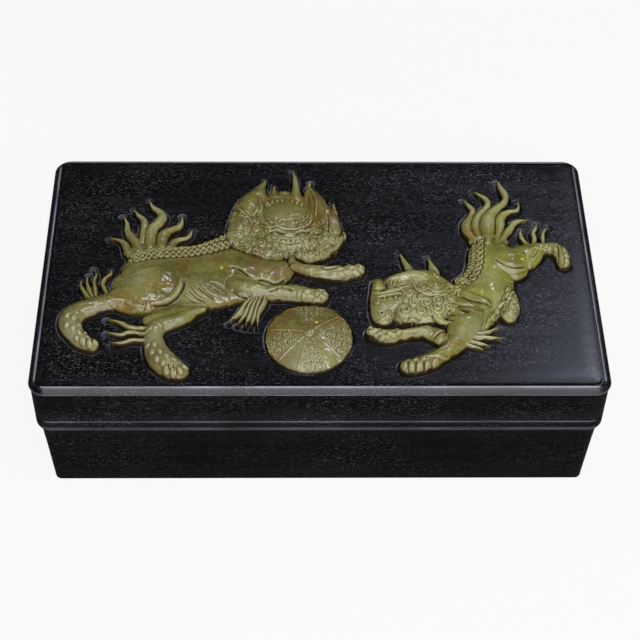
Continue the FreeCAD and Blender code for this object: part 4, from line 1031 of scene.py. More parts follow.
        (cut, [(-104.6, -45.6), (-104.8, -48), (-105, -50.4)], 0.4, 0.6),
        (cut, [(-102.4, -45.6), (-102.4, -47.6), (-102.2, -50)], 0.4, 0.6),
    ],
    "large_lion_far_hind_leg": [
        (lift, [(-75.8, -37.4, 0.3), (-73.6, -38.6, 0.6), (-71.4, -40, 0.3)], 0.6),
        (lift, [(-66, -32.6, 0.5), (-60.4, -30.4, 0.9), (-55.6, -27.6, 0.5)], 0.3),
        (lift, [(-76, -41, 0.3), (-79, -43, 0.7), (-80.6, -42.6, 0.3)], 0.5),
        (heap, [(-77.6, -50.4, 2, 1.4, 250), (-74.2, -50.6, 2.2, 1.5, 270),
                (-75.4, -54.6, 2.2, 1.5, 270), (-71.6, -54.6, 2.3, 1.5, 280),
                (-73, -58.8, 2.2, 1.5, 280), (-68.6, -57, 2.2, 1.5, 290), (-70, -61.4, 2.1, 1.4, 280),
                (-65.4, -58.8, 2, 1.4, 300)], 1.1),
        (boss, -68.4, -65, 1.5, 2.2, 5, 1.1), (boss, -65.2, -66.4, 1.5, 2.2, 5, 1.2),
        (boss, -62.2, -65.6, 1.4, 2, 30, 1.2),
        (boss, -60, -62.8, 1.3, 1.8, 50, 1.1),
        (cut, [(-67.6, -61.6), (-67.4, -64), (-67.6, -66.4)], 0.4, 0.6),
        (cut, [(-65.4, -62), (-65, -64.4), (-64.6, -66.8)], 0.4, 0.6),
        (cut, [(-63.4, -61.4), (-62.6, -63.6), (-61.8, -65.6)], 0.4, 0.6),
    ],
    "small_lion_head": [
        # nose, eye, lips and jaw
        (boss, 27.3, -15, 3.4, 3.3, 0, 1.6),
        (dent, [(31, -12.6, 0.7), (31, -17, 1.0), (28, -19.2, 0.9)], 1.0),
        (boss, 26.2, -17.4, 1.0, 0.7, 30, 0.5), (boss, 28.6, -17.6, 1.0, 0.7, -30, 0.5),
        (dent, [(31.4, -16.8, 0.9), (34, -16.8, 1.1), (36.6, -17, 0.6)], 1.0),
        (boss, 33.2, -16.6, 1.5, 0.8, -8, 1.0),
        (lift, [(31, -15.4, 0.3), (33.4, -15.2, 0.5), (36.4, -16.2, 0.3)], 0.5),
        (lift, [(25.6, -21, 0.4), (29, -20.8, 0.7), (33, -20.2, 0.7), (37, -19.4, 0.6),
                (38.8, -21.4, 0.5), (38, -24, 0.3)], 1.0),
        (dent, [(27.4, -23.4, 0.9), (31.6, -23, 1.4), (35.4, -22.4, 1.5), (37.2, -22.6, 0.8)], 2.0),
        (boss, 34.8, -24, 0.7, 1.1, 20, 1.2), (boss, 29.8, -23.2, 0.7, 0.9, 0, 0.9),
        (boss, 32.2, -23.8, 0.7, 0.8, 0, 0.9),
        (boss, 26.2, -25, 1.6, 2.0, 0, 0.8),
        (boss, 31.4, -27.6, 4.6, 2.2, 8, 0.6), (dent, [(28.2, -31.8, 0.8), (28.3, -32.2, 0.8)], 0.9),
        (ring, 28.2, -32, 1.6, 0.3), (curl, 31.8, -32.6, 2.3, 0.9, 100, 1, 1.6),
        (boss, 26.4, -37.6, 2.8, 2.2, -20, 1.0), (boss, 30.4, -37.4, 2.0, 1.5, 10, 0.7),
        (dent, [(34, -34.4, 0.5), (36.2, -36.8, 1.1), (38.2, -39.6, 0.6)], 1.2),
        (lift, [(32.6, -35, 0.4), (34.8, -37.6, 0.6), (37, -40.6, 0.4)], 0.9),
        (lift, [(28.6, -40.4, 0.3), (32.4, -39.2, 0.6), (35.4, -41, 0.4)], 0.7),
        # the brow plate, ears and cheek
        (boss, 41, -10.2, 9.6, 3.3, 3, 1.1),
        (lift, [(33, -13.6, 0.5), (38, -14.6, 0.8), (43.6, -13.4, 0.8), (50, -11.6, 0.5)], 0.6),
        (heap, [(33, -13.4, 1.5, 0.8, 250), (35, -13.1, 1.5, 0.8, 255), (37, -12.9, 1.4, 0.8, 260),
                (34.4, -14.9, 1.2, 0.7, 250)], 0.7),
        (cut, [(31.4, -18.6), (36, -18.2), (40.4, -17.6), (44, -15.6), (50, -13.6)], 0.4, 0.6),
        (cut, [(41, -8), (46, -8.6), (49.4, -10.6)], 0.35, 0.4),
        (cut, [(42, -10.6), (45.6, -10.8), (48.6, -12)], 0.3, 0.3),
        (boss, 44, -16, 5.4, 2.2, 12, 0.5),
        (lift, [(43.2, -15.4, 0.4), (44, -18.4, 0.7), (47, -21.6, 0.8), (52, -22.6, 0.8),
                (57, -22, 0.6), (60, -20, 0.3)], 1.0),
        (curl, 47.4, -18.2, 2.5, 0.9, 200, 1, 1.5),
        (lift, [(50, -18.6, 0.5), (54, -20.4, 0.9), (58, -19.6, 0.5)], 0.6),
        (shell, 53.6, -15.2, 3.8, 310, 1.1, 3), (shell, 58.8, -17, 2.8, 330, 1.0, 2),
        (lift, [(51.4, -3.4, 0.5), (52.6, -6, 1.4), (53.6, -9.4, 0.8)], 0.5),
        (cut, [(53.4, -3.4), (55, -6.4), (56.4, -9.4)], 0.4, 0.5),
        (boss, 48.6, -38, 4.4, 3.6, 20, 1.1),
        (pile, packCurls("small_lion_head", (2.4, 1.9, 1.5, 1.2), 0.78,
                         clearOf([(30, -26, 9, 20), (44, -13, 15, 8.4), (48, -20, 5, 4),
                                  (48.6, -38, 5, 4.4), (54, -15, 9, 7), (72, -24, 10, 12),
                                  (58, -37, 6, 6), (35, -38, 4, 5), (44, 2, 16, 10),
                                  (66, -28, 6, 8)], -42, -12),
                         [(38.6, -31.4, 3.9, 30, 1, 2.1), (43, -27.2, 2.8, 250, -1, 1.7),
                          (48.8, -26.8, 2.7, 0, 1, 1.7), (45.8, -32, 2.9, 70, 1, 1.7),
                          (54, -30, 3.8, 160, -1, 2.2), (54, -25, 2.7, 200, 1, 1.7),
                          (59.6, -23.8, 2.7, 0, 1, 1.7), (42.2, -37.6, 2.7, 0, 1, 1.6),
                          (50, -32.6, 2.2, 0, 1, 1.4)]), 1.3),
        # locks of the mane over the shoulder
        (lift, [(61, -18.6, 0.6), (65.6, -23, 1.2), (70, -24.8, 1.2), (75.6, -26.4, 0.6)], 0.6),
        (cut, [(62.4, -20.8), (66.6, -24.8), (71, -26.2), (76, -28)], 0.45, 0.6),
        (lift, [(61, -25.6, 0.5), (65, -28, 1.0), (70, -29, 0.6)], 0.6),
        (cut, [(60.4, -27.6), (64, -30), (69, -30.6)], 0.4, 0.6),
        (lift, [(58.6, -32, 0.5), (61.6, -34.6, 1.1), (66, -35.8, 0.5)], 0.7),
        (lift, [(51.4, -33.6, 0.5), (55, -37, 1.2), (59.6, -39.6, 0.5)], 0.7),
        (cut, [(52, -35.4), (55.6, -38.8), (59.4, -41)], 0.4, 0.5),
    ],
    "small_lion_near_foreleg": [
        (swell, 66.4, -37, 12.6, 8.4, 62, 2.1), (swell, 60, -49, 8.4, 4.6, 46, 0.9),
        (cut, [(57.4, -43), (55.6, -45.4), (52, -47.6)], 0.45, 0.7),
        (lift, [(57.8, -50, 0.4), (56.4, -52, 0.8), (53.4, -53.4, 0.4)], 0.4),
        (lift, [(46.6, -57.8, 0.4), (50.6, -57.2, 0.9), (55.6, -58, 0.8), (58.6, -56.6, 0.4)], 0.5),
        (boss, 37, -62.2, 1.5, 2.4, 10, 1.1), (boss, 40.4, -63.4, 1.5, 2.6, 5, 1.2),
        (boss, 44, -63.4, 1.6, 2.6, 0, 1.2),
        (boss, 47.8, -62.6, 1.6, 2.4, -8, 1.1), (boss, 51.4, -60.8, 1.6, 2.2, -20, 0.8),
        (cut, [(39.2, -59.8), (39.2, -62.4), (39, -65)], 0.4, 0.6),
        (cut, [(42.4, -59.8), (42.4, -62.6), (42.4, -65.4)], 0.4, 0.6),
        (cut, [(46, -59.6), (46, -62.4), (46.2, -65)], 0.4, 0.6),
        (heap, [(39, -58.6, 2, 1.3, 260), (42.4, -58.6, 2, 1.3, 265), (46, -58.2, 2, 1.3, 270)], 0.8),
    ],
    "small_lion_far_foreleg": [
        (boss, 21.4, -40.6, 2.0, 1.2, 10, 1.1), (boss, 21.4, -43, 2.0, 1.2, -5, 1.1),
        (boss, 23.6, -45.4, 2.2, 1.2, -25, 1.1),
        (heap, packTufts("small_lion_far_foreleg", [(25, -43, 2.6), (30, -43.6, 3),
                                                    (34, -42.6, 2.4)], 2.0, 1.3, 185), 1.0),
        (cut, [(50.4, -46.8), (54, -44), (57, -40.6)], 0.45, 0.8),
        (lift, [(51, -45.4, 0.4), (54, -43, 0.7), (56.4, -40.4, 0.4)], 0.5),
        (lift, [(36, -43.4, 0.5), (41, -42.8, 0.9), (46, -41.4, 0.5)], 0.35),
    ],
    "small_lion_body": [
        # hip, belly locks and the knot of fur under the belly
        (swell, 88.6, 2, 12, 9.4, 20, 1.7), (swell, 79, -15, 9.6, 14, 15, 1.1),
        (cut, [(81.6, 0), (86, -3.4), (91, -5), (96, -3.2)], 0.6, 0.8),
        (lift, [(81.4, -1.6, 0.4), (86, -5, 1.0), (91, -6.6, 1.1), (96, -4.6, 0.5)], 0.5),
        (cut, [(84, -11.4), (87.6, -12.4), (91.4, -12)], 0.6, 0.5),
        (lift, [(90.8, -14, 0.3), (90.4, -18, 0.9), (88.4, -22, 0.4)], 0.9),
        (heap, [(87.4, -17.6, 3.4, 1.2, 235), (86, -21.8, 3.6, 1.3, 232), (84, -25.6, 3.6, 1.3, 228),
                (81.8, -29.4, 3.6, 1.3, 232), (79.6, -33, 3.6, 1.3, 238), (77, -36.4, 3.4, 1.2, 245),
                (88.6, -21, 2.6, 1.0, 240), (86.4, -25, 2.6, 1.0, 238), (84, -29.2, 2.6, 1.0, 236),
                (81.6, -33.4, 2.6, 1.0, 240)], 0.95),
        (pile, packCurls("small_lion_body", (1.9, 1.5, 1.2), 0.76,
                         clearOf([(75, -5, 13, 30), (84, -12, 9, 10)], -34, -19),
                         [(87.6, -31, 3.2, 40, 1, 1.9), (89.6, -25.4, 2.0, 200, -1, 1.4)]), 1.0),
    ] + row(ring, [(76.6, 13), (76, 9), (75.6, 4), (75, -1), (73.6, -6), (71.6, -10),
                   (69.4, -13.6)], 3.5, 1.9, 1.1)
    + row(ring, [(73.6, 11.6), (73, 7), (72.6, 2), (71.6, -3), (69.6, -7), (67, -10.4)], 2.7, 1.35, 0.8)
    + row(bead, [(71.6, 9), (71, 5), (70.4, 0), (68.8, -5), (66, -8), (63, -9.6)], 2.3, 1.0, 0.6)
    + row(ring, [(69, -12.8), (66.6, -12.4), (64, -11.6), (62, -10.6)], 2.6, 1.4, 0.8),
    "small_lion_hind_leg": [
        (lift, [(93, -7.6, 0.6), (97, -4, 1.3), (100, 0.6, 1.0), (102, 3.4, 0.5)], 0.4),
        (lift, [(99.4, 6.4, 0.4), (102, 8.4, 1.0), (107.6, 8, 0.5)], 0.4),
        (cut, [(100.6, 3), (102.6, 5.4), (103.4, 7.4)], 0.5, 0.5),
        (heap, [(111.4, 8.4, 1.8, 1.2, 290), (111.2, 5.6, 1.6, 1.0, 280),
                (112.4, 11, 1.6, 1.0, 250)], 0.6),
        (cut, [(112.6, 11.6), (113.2, 7.4), (112.8, 2.6), (112.2, -1)], 0.45, 0.8),
        (boss, 116.4, 8, 1.7, 2.2, 10, 1.0), (boss, 116.8, 4.2, 1.6, 1.7, 0, 1.1),
        (boss, 116.8, 1, 1.6, 1.7, 0, 1.1),
        (boss, 116, -2.2, 1.5, 1.5, 0, 1.1), (boss, 112.8, -2.8, 1.3, 1.4, 0, 1.0),
    ],
}

# hair lines on the small tufts behind the legs
for tufted in ("large_lion_near_foreleg", "large_lion_near_hind_leg", "small_lion_near_foreleg"):
    for height, line in lines[tufted][1:]:
        clear = line[acrossLine(line[:, :2], lines[tufted][0][1])[0] > -0.4]
        details[tufted].append((hair, clear[::4], 2, 0.4))

# the ball's ribs and its brocade sectors, in degrees round its middle
ribAngles = (167, 41.7, -38.6, -67.4, -106, -136)
brocadeSectors = ((167, 224), (-38.6, 41.7), (-106, -67.4), (66, 116))


def ballForms():
    x, y, radius = ballPlan["x"], ballPlan["y"], ballPlan["radius"]
    forms = [(boss, x, y, 2.5, 2.5, 0, 0.9), (bead, x, y, 1.1, 0.3)]
    for angle in ribAngles:
        way = (math.cos(math.radians(angle)), math.sin(math.radians(angle)))
        ends = [(x + way[0] * far, y + way[1] * far) for far in (2.6, 10, radius - 1.2)]
        forms.append((crest, ends, 0.5, 0.45))
    size = 2.45
    for j in range(-9, 10):
        for i in range(-9, 10):
            spotX = x + (i + 0.5 * (j % 2)) * size * 2
            spotY = y + j * size * 1.74
            away = math.hypot(spotX - x, spotY - y)
            angle = math.degrees(math.atan2(spotY - y, spotX - x))
            slack = math.degrees(size * 0.8 / max(away, 1))
            inSector = any(low + slack < turned < high - slack for low, high in brocadeSectors
                           for turned in (angle, angle + 360))
            if 5 < away < radius - 2 and inSector:
                forms.append((rosette, spotX, spotY, size, 0.65))
    return forms


details["brocade_ball"] = ballForms()

# stains in the stone and patches of painted sheen, each a soft patch: place, size and strength
stainsAndSheen = {
    "tint": {
        "large_lion_body": [(-29, -7, 5, 0.9), (-21, -8, 5, 1), (-15.6, -5, 3.4, 1), (-92, -2, 5, 0.5),
                            (-46, -20, 5, 0.5), (-66, -22, 3, 0.6)],
        "large_lion_head": [(-14, 1, 4, 0.9), (3, 0, 4, 0.6), (-28, 1, 5, 0.5), (8, 6, 4, 0.6),
                            (5, 32, 2, 1), (-32, 26, 3, 0.7), (3, 25, 3, 0.8)],
        "large_lion_far_foreleg": [(-10.4, 0.6, 3, 0.8)],
        "small_lion_head": [(35, -38, 4, 0.9), (24.6, -24, 3, 0.5)],
        "small_lion_near_foreleg": [(54, -48, 3, 0.5)],
        "small_lion_far_foreleg": [(50, -41, 5, 0.4)],
    },
    "amber": {
        "large_lion_head": [(-22, 42.6, 4, 1), (-15, 42.8, 3, 0.9), (-3, 42, 5, 0.9), (0, 33, 4, 0.6),
                            (-28.6, 6, 2.4, 0.9), (-37, 31, 3, 0.5), (-32, 25, 3, 0.5),
                            (-5, 20, 2, 0.6), (-22, 20, 2, 0.6), (3, 24, 3, 0.4),
                            (-21.6, 48, 2.4, 0.8)],
        "large_lion_far_foreleg": [(-6, -3, 4, 0.5)],
        "large_lion_tail": [(-92, 14, 3, 0.5), (-88, 11, 3, 0.6), (-79, 9, 4, 0.7), (-70, 11, 3, 0.5)],
        "small_lion_head": [(26.3, -25, 1.8, 1), (58, -16, 4, 0.7), (47, -18, 2.4, 0.7),
                            (60, -34, 3, 0.5), (53, -9, 3, 0.4)],
        "small_lion_near_foreleg": [(60, -40, 7, 0.25), (56, -51, 4, 0.6), (44, -56.6, 4, 0.8),
                                    (37, -61, 3, 0.7), (50, -62, 5, 0.5)],
        "small_lion_body": [(68, -9, 4, 0.8), (71, 0, 3, 0.7), (72, 8, 3, 0.8), (96, -8, 4, 0.4)],
        "small_lion_far_foreleg": [(53, -44, 6, 0.7), (42, -42, 6, 0.4)],
        "small_lion_hind_leg": [(98, -4, 3, 0.6), (113, -2, 3, 0.9), (112.6, 6, 3, 0.5)],
        "small_lion_tail": [(74, 19, 3, 0.8), (80, 16, 4, 0.8), (88, 19, 3, 0.7), (71, 30, 2, 0.5)],
        "brocade_ball": [(-16, -30, 7, 0.9), (8, -30, 6, 0.7), (-4, -27, 7, 0.8), (-22, -42, 4, 0.6)],
    },
    # painted sheen: pale patches where paws, tails, tufts and the ball's lower side catch the light
    "paintedSheen": {
        "large_lion_near_hind_leg": [(-108, -42, 9, 0.95), (-103, -48, 4, 0.8), (-112, -34, 5, 0.4)],
        "large_lion_far_hind_leg": [(-74, -47, 8, 0.6), (-66, -60, 8, 0.6)],
        "large_lion_tail": [(-91, 27, 5, 0.6), (-85, 32, 5, 0.6), (-77, 34, 5, 0.5), (-66, 27, 4, 0.6),
                            (-62, 19, 4, 0.6), (-78, 22, 4, 0.4), (-80, 30, 9, 0.4)],
        "large_lion_near_foreleg": [(-32, -30, 8, 0.7), (2, -20, 5, 0.6), (-8, -18, 5, 0.4)],
        "large_lion_far_foreleg": [(17, -4, 7, 0.6), (4, -6, 6, 0.4)],
        "large_lion_head": [(-17, 24, 7, 0.4), (-38, 18, 6, 0.5), (-12, 12, 8, 0.4), (8, 24, 4, 0.6),
                            (-12, 52, 4, 0.5), (-8, 0, 5, 0.4), (-25, 2, 6, 0.5), (8, 12, 5, 0.4)],
        "large_lion_body": [(-84, -14, 6, 0.4), (-56, -22, 8, 0.5)],
        "brocade_ball": [(-5, -62, 12, 0.8), (-14, -52, 7, 0.5), (6, -52, 8, 0.5)],
        "small_lion_head": [(40, -9, 7, 0.5), (52, -3, 4, 0.6), (40, -30, 12, 0.6), (30, -33, 7, 0.6),
                            (53, -29, 7, 0.5), (48, -38, 5, 0.6)],
        "small_lion_tail": [(82, 26, 4, 0.7), (90, 46, 5, 0.6), (79, 44, 4, 0.5), (94, 35, 5, 0.5),
                            (73, 36, 4, 0.5), (95, 28, 4, 0.6), (75, 27, 3, 0.5), (81, 37, 8, 0.5),
                            (84, 50, 6, 0.6)],
        "small_lion_near_foreleg": [(74, -45, 8, 0.8), (64, -44, 4, 0.5), (42, -61, 6, 0.4)],
        "small_lion_far_foreleg": [(25, -43, 6, 0.6), (36, -42, 6, 0.4)],
        "small_lion_body": [(86, -26, 6, 0.6), (78, -12, 5, 0.4), (88, -31, 5, 0.5)],
        "small_lion_hind_leg": [(116, 2, 4, 0.5), (103, 18, 5, 0.6)],
    },
}
# small yellow flecks in the stone
flecks = [(-45.4, -5.9), (-28.4, -17.2), (-1.6, -38.2), (87, 9), (95.2, 0.4)]


def spread(values, pairs, rounds):
    # evens values out over their neighbours
    count = np.bincount(pairs.ravel(), minlength=len(values)).astype(float)
    for turn in range(rounds):
        total = np.bincount(pairs[:, 0], values[pairs[:, 1]], len(values))
        total += np.bincount(pairs[:, 1], values[pairs[:, 0]], len(values))
        values = (values + total) / (1 + count)
    return values


def ripple(spots, wave):
    # a slow, uneven swell between -1 and 1
    u, v = spots.T * 2 * math.pi / wave
    crossed = np.sin(u + 1.6 * np.sin(0.63 * v)) * np.sin(0.81 * v + 1.3 * np.sin(0.47 * u))
    return 0.5 * crossed + 0.5 * np.sin(0.53 * u + 0.71 * v + 1.9 * np.sin(0.39 * v - 0.31 * u))


# The carved stones

panelHigh = np.array(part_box("lid_panel")[1]) / mm
panelHalf = panelHigh[:2]
panelTop = panelHigh[2]


def selectFaces(piece, chosen):
    # picks the faces that chosen marks, and stays in edit mode
    takeHold(piece)
    bpy.ops.object.mode_set(mode="EDIT")
    bpy.ops.mesh.select_mode(type="FACE")
    bpy.ops.mesh.select_all(action="DESELECT")
    bpy.ops.object.mode_set(mode="OBJECT")
    piece.data.polygons.foreach_set("select", chosen)
    bpy.ops.object.mode_set(mode="EDIT")


def deleteFaces(piece, chosen):
    selectFaces(piece, chosen)
    bpy.ops.mesh.delete(type="FACE")
    bpy.ops.object.mode_set(mode="OBJECT")


def selectRim():
    # in edit mode, picks the open edges of a sheet
    bpy.ops.mesh.select_mode(type="EDGE")
    bpy.ops.mesh.select_all(action="DESELECT")
    bpy.ops.mesh.select_non_manifold(extend=False, use_boundary=True, use_wire=False,
                                     use_multi_face=False, use_non_contiguous=False,
                                     use_verts=False)


def closeSolid(smoothAngle):
    # in edit mode, fills the picked rim and turns all faces outward
    bpy.ops.mesh.edge_face_add()
    bpy.ops.mesh.select_all(action="SELECT")
    bpy.ops.mesh.normals_make_consistent(inside=False)
    bpy.ops.object.mode_set(mode="OBJECT")
    bpy.ops.object.shade_smooth_by_angle(angle=math.radians(smoothAngle))


def faceCentres(piece):
    centres = np.empty(len(piece.data.polygons) * 3)
    piece.data.polygons.foreach_get("center", centres)
    return centres.reshape(-1, 3)[:, :2] / mm


# in shares of a sheet's squares: points this near an outline move onto it, and a face
# stays where no corner lies further out
snapping = {"inside": 0.45, "outside": 0.75, "kept": 0.25, "rounds": 3}


def snapTo(flat, distance, outside, near):
    # moves the points near an outline onto it
    step = 0.05
    for turn in range(snapping["rounds"]):
        spots = flat[near]
        slope = np.stack([
            (outside(spots + (step, 0)) - outside(spots - (step, 0))) / (2 * step),
            (outside(spots + (0, step)) - outside(spots - (0, step))) / (2 * step)], axis=1)
        steep = np.maximum((slope ** 2).sum(1), 0.2)
        flat[near] = spots - slope * (distance[near] / steep)[:, None]
        distance[near] = outside(flat[near])


def roundedEdge(spots, low, high, corner):
    # distance outside a rectangle with rounded corners
    middle = (low + high) / 2
    beyond = np.abs(spots - middle) - ((high - low) / 2 - corner)
    return np.hypot(*np.maximum(beyond, 0).T) + np.minimum(beyond.max(1), 0) - corner


def closeBelow(piece, floor, smoothAngle):
    # walls from the sheet's rim straight down to the floor, and a flat underside
    takeHold(piece)
    bpy.ops.object.mode_set(mode="EDIT")
    selectRim()
    bpy.ops.mesh.extrude_edges_move()
    bpy.ops.object.mode_set(mode="OBJECT")
    points = readPoints(piece)
    lowered = np.array([vertex.select for vertex in piece.data.vertices])
    points[lowered, 2] = floor
    writePoints(piece, points)
    bpy.ops.object.mode_set(mode="EDIT")
    closeSolid(smoothAngle)
    return lowered


def newSheet(name, low, high, margin, pitch):
    # a sheet of small squares from low to high and a margin more
    width, depth = [high[axis] - low[axis] + 2 * margin for axis in (0, 1)]
    deselectAll()
    bpy.ops.mesh.primitive_grid_add(
        x_subdivisions=round(width / pitch), y_subdivisions=round(depth / pitch), size=1,
        location=((low[0] + high[0]) / 2 * mm, (low[1] + high[1]) / 2 * mm, 0))
    piece = bpy.context.object
    piece.scale = (width * mm, depth * mm, 1)
    return settle(piece, name)


def cutSheet(name, low, high, margin, pitch, outside):
    # a sheet cut to an outline: outside tells how far past it a place lies
    piece = newSheet(name, low, high, margin, pitch)
    points = readPoints(piece)
    flat = points[:, :2]
    distance = outside(flat)
    near = (distance > -snapping["inside"] * pitch) & (distance < snapping["outside"] * pitch)
    snapTo(flat, distance, outside, np.nonzero(near)[0])
    writePoints(piece, points)
    corners = np.array([list(face.vertices) for face in piece.data.polygons])
    deleteFaces(piece, (distance[corners] > snapping["kept"] * pitch).any(1))
    return piece


def buildStoneMesh(name):
    # a sheet over the stone, cut where it ends or runs under the stones above it
    layer = layers[layerPlace(name)]
    pitch = carving["headPitch" if name.endswith("head") else "pitch"]

    def outside(spots):
        distance = outlineOf(name, spots)
        distance += carving["waver"] * (1 + ripple(spots, carving["waverLong"]))
        for other in allStones[:allStones.index(name)]:
            tuck = carving["tuck"] if other in layer else 0
            distance = np.maximum(distance, -outlineOf(other, spots) - tuck)
        return distance

    low, high = [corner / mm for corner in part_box(name)]
    return cutSheet(name + "_carved", low, high, carving["margin"], pitch, outside)


def carvedRelief(name, spots, pairs):
    # the stone's height above the board, with all its detail
    relief = reliefOf(name, spots)
    # the meetings of a stroke's parts are rubbed down, away from its rim
    inner = np.clip(-outlineOf(name, spots) / carving["rubbedFrom"], 0, 1)
    relief = relief + (spread(relief, pairs, carving["rubbed"]) - relief) * inner
    for shape, *sizes in details.get(name, []):
        relief = relief + shape(spots, *sizes)
    for height, wave in carving["unevenness"]:
        relief += height * ripple(spots, wave)
    softTop = carving["softTop"]
    ceiling = carving["tallest"] - softTop
    levelled = ceiling + softTop * np.tanh((relief - ceiling) / softTop)
    relief = np.maximum(np.where(relief > ceiling, levelled, relief), carving["lowest"])
    for other in allStones[:allStones.index(name)]:
        if other in layers[layerPlace(name)]:
            # where it runs on under its level neighbour it dips out of sight
            relief = np.where(outlineOf(other, spots) < -0.05, relief - 0.25, relief)
    return relief


paintedLightAndStains = {
    # how far a point stands out from its surroundings, near and wide: rounds of
    # smoothing, then the depth or height that counts in full and its share
    "rounds": (3, 16),
    # wax in the hollows, with painted shade where they are deep
    "crease": ((0.11, 0.45), (0.55, 0.6)),
    # painted highlight: crests that stand out from their surroundings are paled
    "ridgeHighlight": ((0.07, 0.55), (0.5, 0.45)),
    # painted shade at the stone's rim and under the layer above
    "rimDark": 0.2,
    "rimDarkReach": 0.5,
    "rimAmber": 0.4,
    "rimAmberReach": 0.9,
    "fleck": (0.75, 0.5, 10),       # half length, half width, turn
}


def shareOf(heights, limits):
    return sum(np.clip(height / full, 0, 1) * share for height, (full, share) in zip(heights, limits))


def paintedLightAndStainsOf(name, spots, pairs, relief):
    # what the material reads: how deep or how exposed each point is, for painted shade and painted
    # highlight, and its stains and painted sheen
    proud = [relief - spread(relief, pairs, rounds) for rounds in paintedLightAndStains["rounds"]]
    # dark wax and painted shade gather at the stone's rim, and where another layer lies over it
    place = layerPlace(name)
    rim = -np.min([outlineOf(member, spots) for member in layers[place]], axis=0)
    for group in layers[:place]:
        rim = np.min([rim] + [outlineOf(member, spots) for member in group], axis=0)
    crease = shareOf([-height for height in proud], paintedLightAndStains["crease"])
    crease += paintedLightAndStains["rimDark"] * np.clip(1.1 - np.abs(rim) / paintedLightAndStains["rimDarkReach"], 0, 1)
    stainedAndSheen = {label: np.zeros(len(spots)) for label in stainsAndSheen}
    patchy = 0.5 + 0.5 * ripple(spots, 6.0)
    stainedAndSheen["amber"] = paintedLightAndStains["rimAmber"] * np.exp(-(rim / paintedLightAndStains["rimAmberReach"]) ** 2) * patchy
    for label, places in stainsAndSheen.items():
        for x, y, radius, strength in places.get(name, []):
            away = np.hypot(spots[:, 0] - x, spots[:, 1] - y) / radius
            stainedAndSheen[label] = np.maximum(stainedAndSheen[label], strength * np.exp(-away ** 2))
    fleck = np.zeros(len(spots))
    for x, y in flecks:
        u, v = toEllipse(spots, x, y, *paintedLightAndStains["fleck"])
        fleck = np.maximum(fleck, (np.hypot(u, v) < 1).astype(float))
    return {"crease": crease, "ridgeHighlight": shareOf(proud, paintedLightAndStains["ridgeHighlight"]), "fleck": fleck, **stainedAndSheen}


def carve(name, material):
    piece = buildStoneMesh(name)
    points = readPoints(piece)
    spots = points[:, :2].copy()
    pairs = np.empty(len(piece.data.edges) * 2, np.int32)
    piece.data.edges.foreach_get("vertices", pairs)
    pairs = pairs.reshape(-1, 2)
    relief = carvedRelief(name, spots, pairs)
    points[:, 2] = panelTop + relief
    writePoints(piece, points)
    for label, values in paintedLightAndStainsOf(name, spots, pairs, relief).items():
        paint(piece, label, np.clip(values, 0, 1))
    lowered = closeBelow(piece, panelTop - carving["sink"], carving["smoothAngle"])
    # painted shade: the sides sunk into the recess darken in full towards their foot
    creases = piece.data.attributes["crease"].data
    for index in np.nonzero(lowered)[0]:
        creases[index].value = 1.0
    print(name, len(piece.data.vertices), "points")
    return dress(piece, material, "lid", [name])


for name in allStones:
    if name.startswith("small"):
        carve(name, yellowStone)
    else:
        carve(name, oliveStone)
print("stones carved")


# The wooden box

board = {
    "pitch": 3.0,
    "margin": 1.0,
    "bands": (5.0, 2.4, 1.0),   # how near an edge the squares are halved, in turn
    "depth": 1.5,           # of the recess the stones are let into
    "eased": 0.5,           # the recess's worn upper edge
    "round": 1.3,           # the board's own top edge
    "corner": 3.9,
    "under": 67.5,
    "snapShares": (0.45, 0.6),
    "sawnWide": 0.35,       # width of the recess's side
    "edgeWorn": 0.16,       # how far the recess's eased edge has dropped
    "dustAndSheen": (0.9, 0.6),     # how far from a stone the dust and painted sheen begin, and over what width
    # painted highlight along the recess's edge
    "rimHighlight": (0.12, 0.18, 0.5),   # place beside the recess, width and strength
    "fall": 0.4,            # of the board towards its own edge, and over what width
    "fallWide": 7.0,
    "smoothAngle": 40,
}


def drilledEnds():
    # the drill holes that the fretsaw started from, just past each flame's point
    ends = []
    for shift, strokes in stones.values():
        for height, stations in strokes:
            for end, beside in ((0, 1), (-1, -2)):
                if stations[end][2] < 0.5:
                    tip = Vector(stations[end][:2])
                    outward = (tip - Vector(stations[beside][:2])).normalized()
                    centre = tip + outward * carving["holeReach"]
                    ends.append((centre.x, centre.y + shift))
    return ends


drilled = drilledEnds()


def recessEdge(spots):
    # distance outside the sawn recess
    distance = np.full(len(spots), 99.0)
    for name in allStones:
        distance = np.minimum(distance, outlineOf(name, spots, 7) - carving["gap"])
    for x, y in drilled:
        away = np.hypot(spots[:, 0] - x, spots[:, 1] - y)
        distance = np.minimum(distance, away - carving["holeRadius"])
    return distance


def boardEdge(spots):
    # distance outside the board's own outline
    return roundedEdge(spots, -panelHalf, panelHalf, board["corner"])


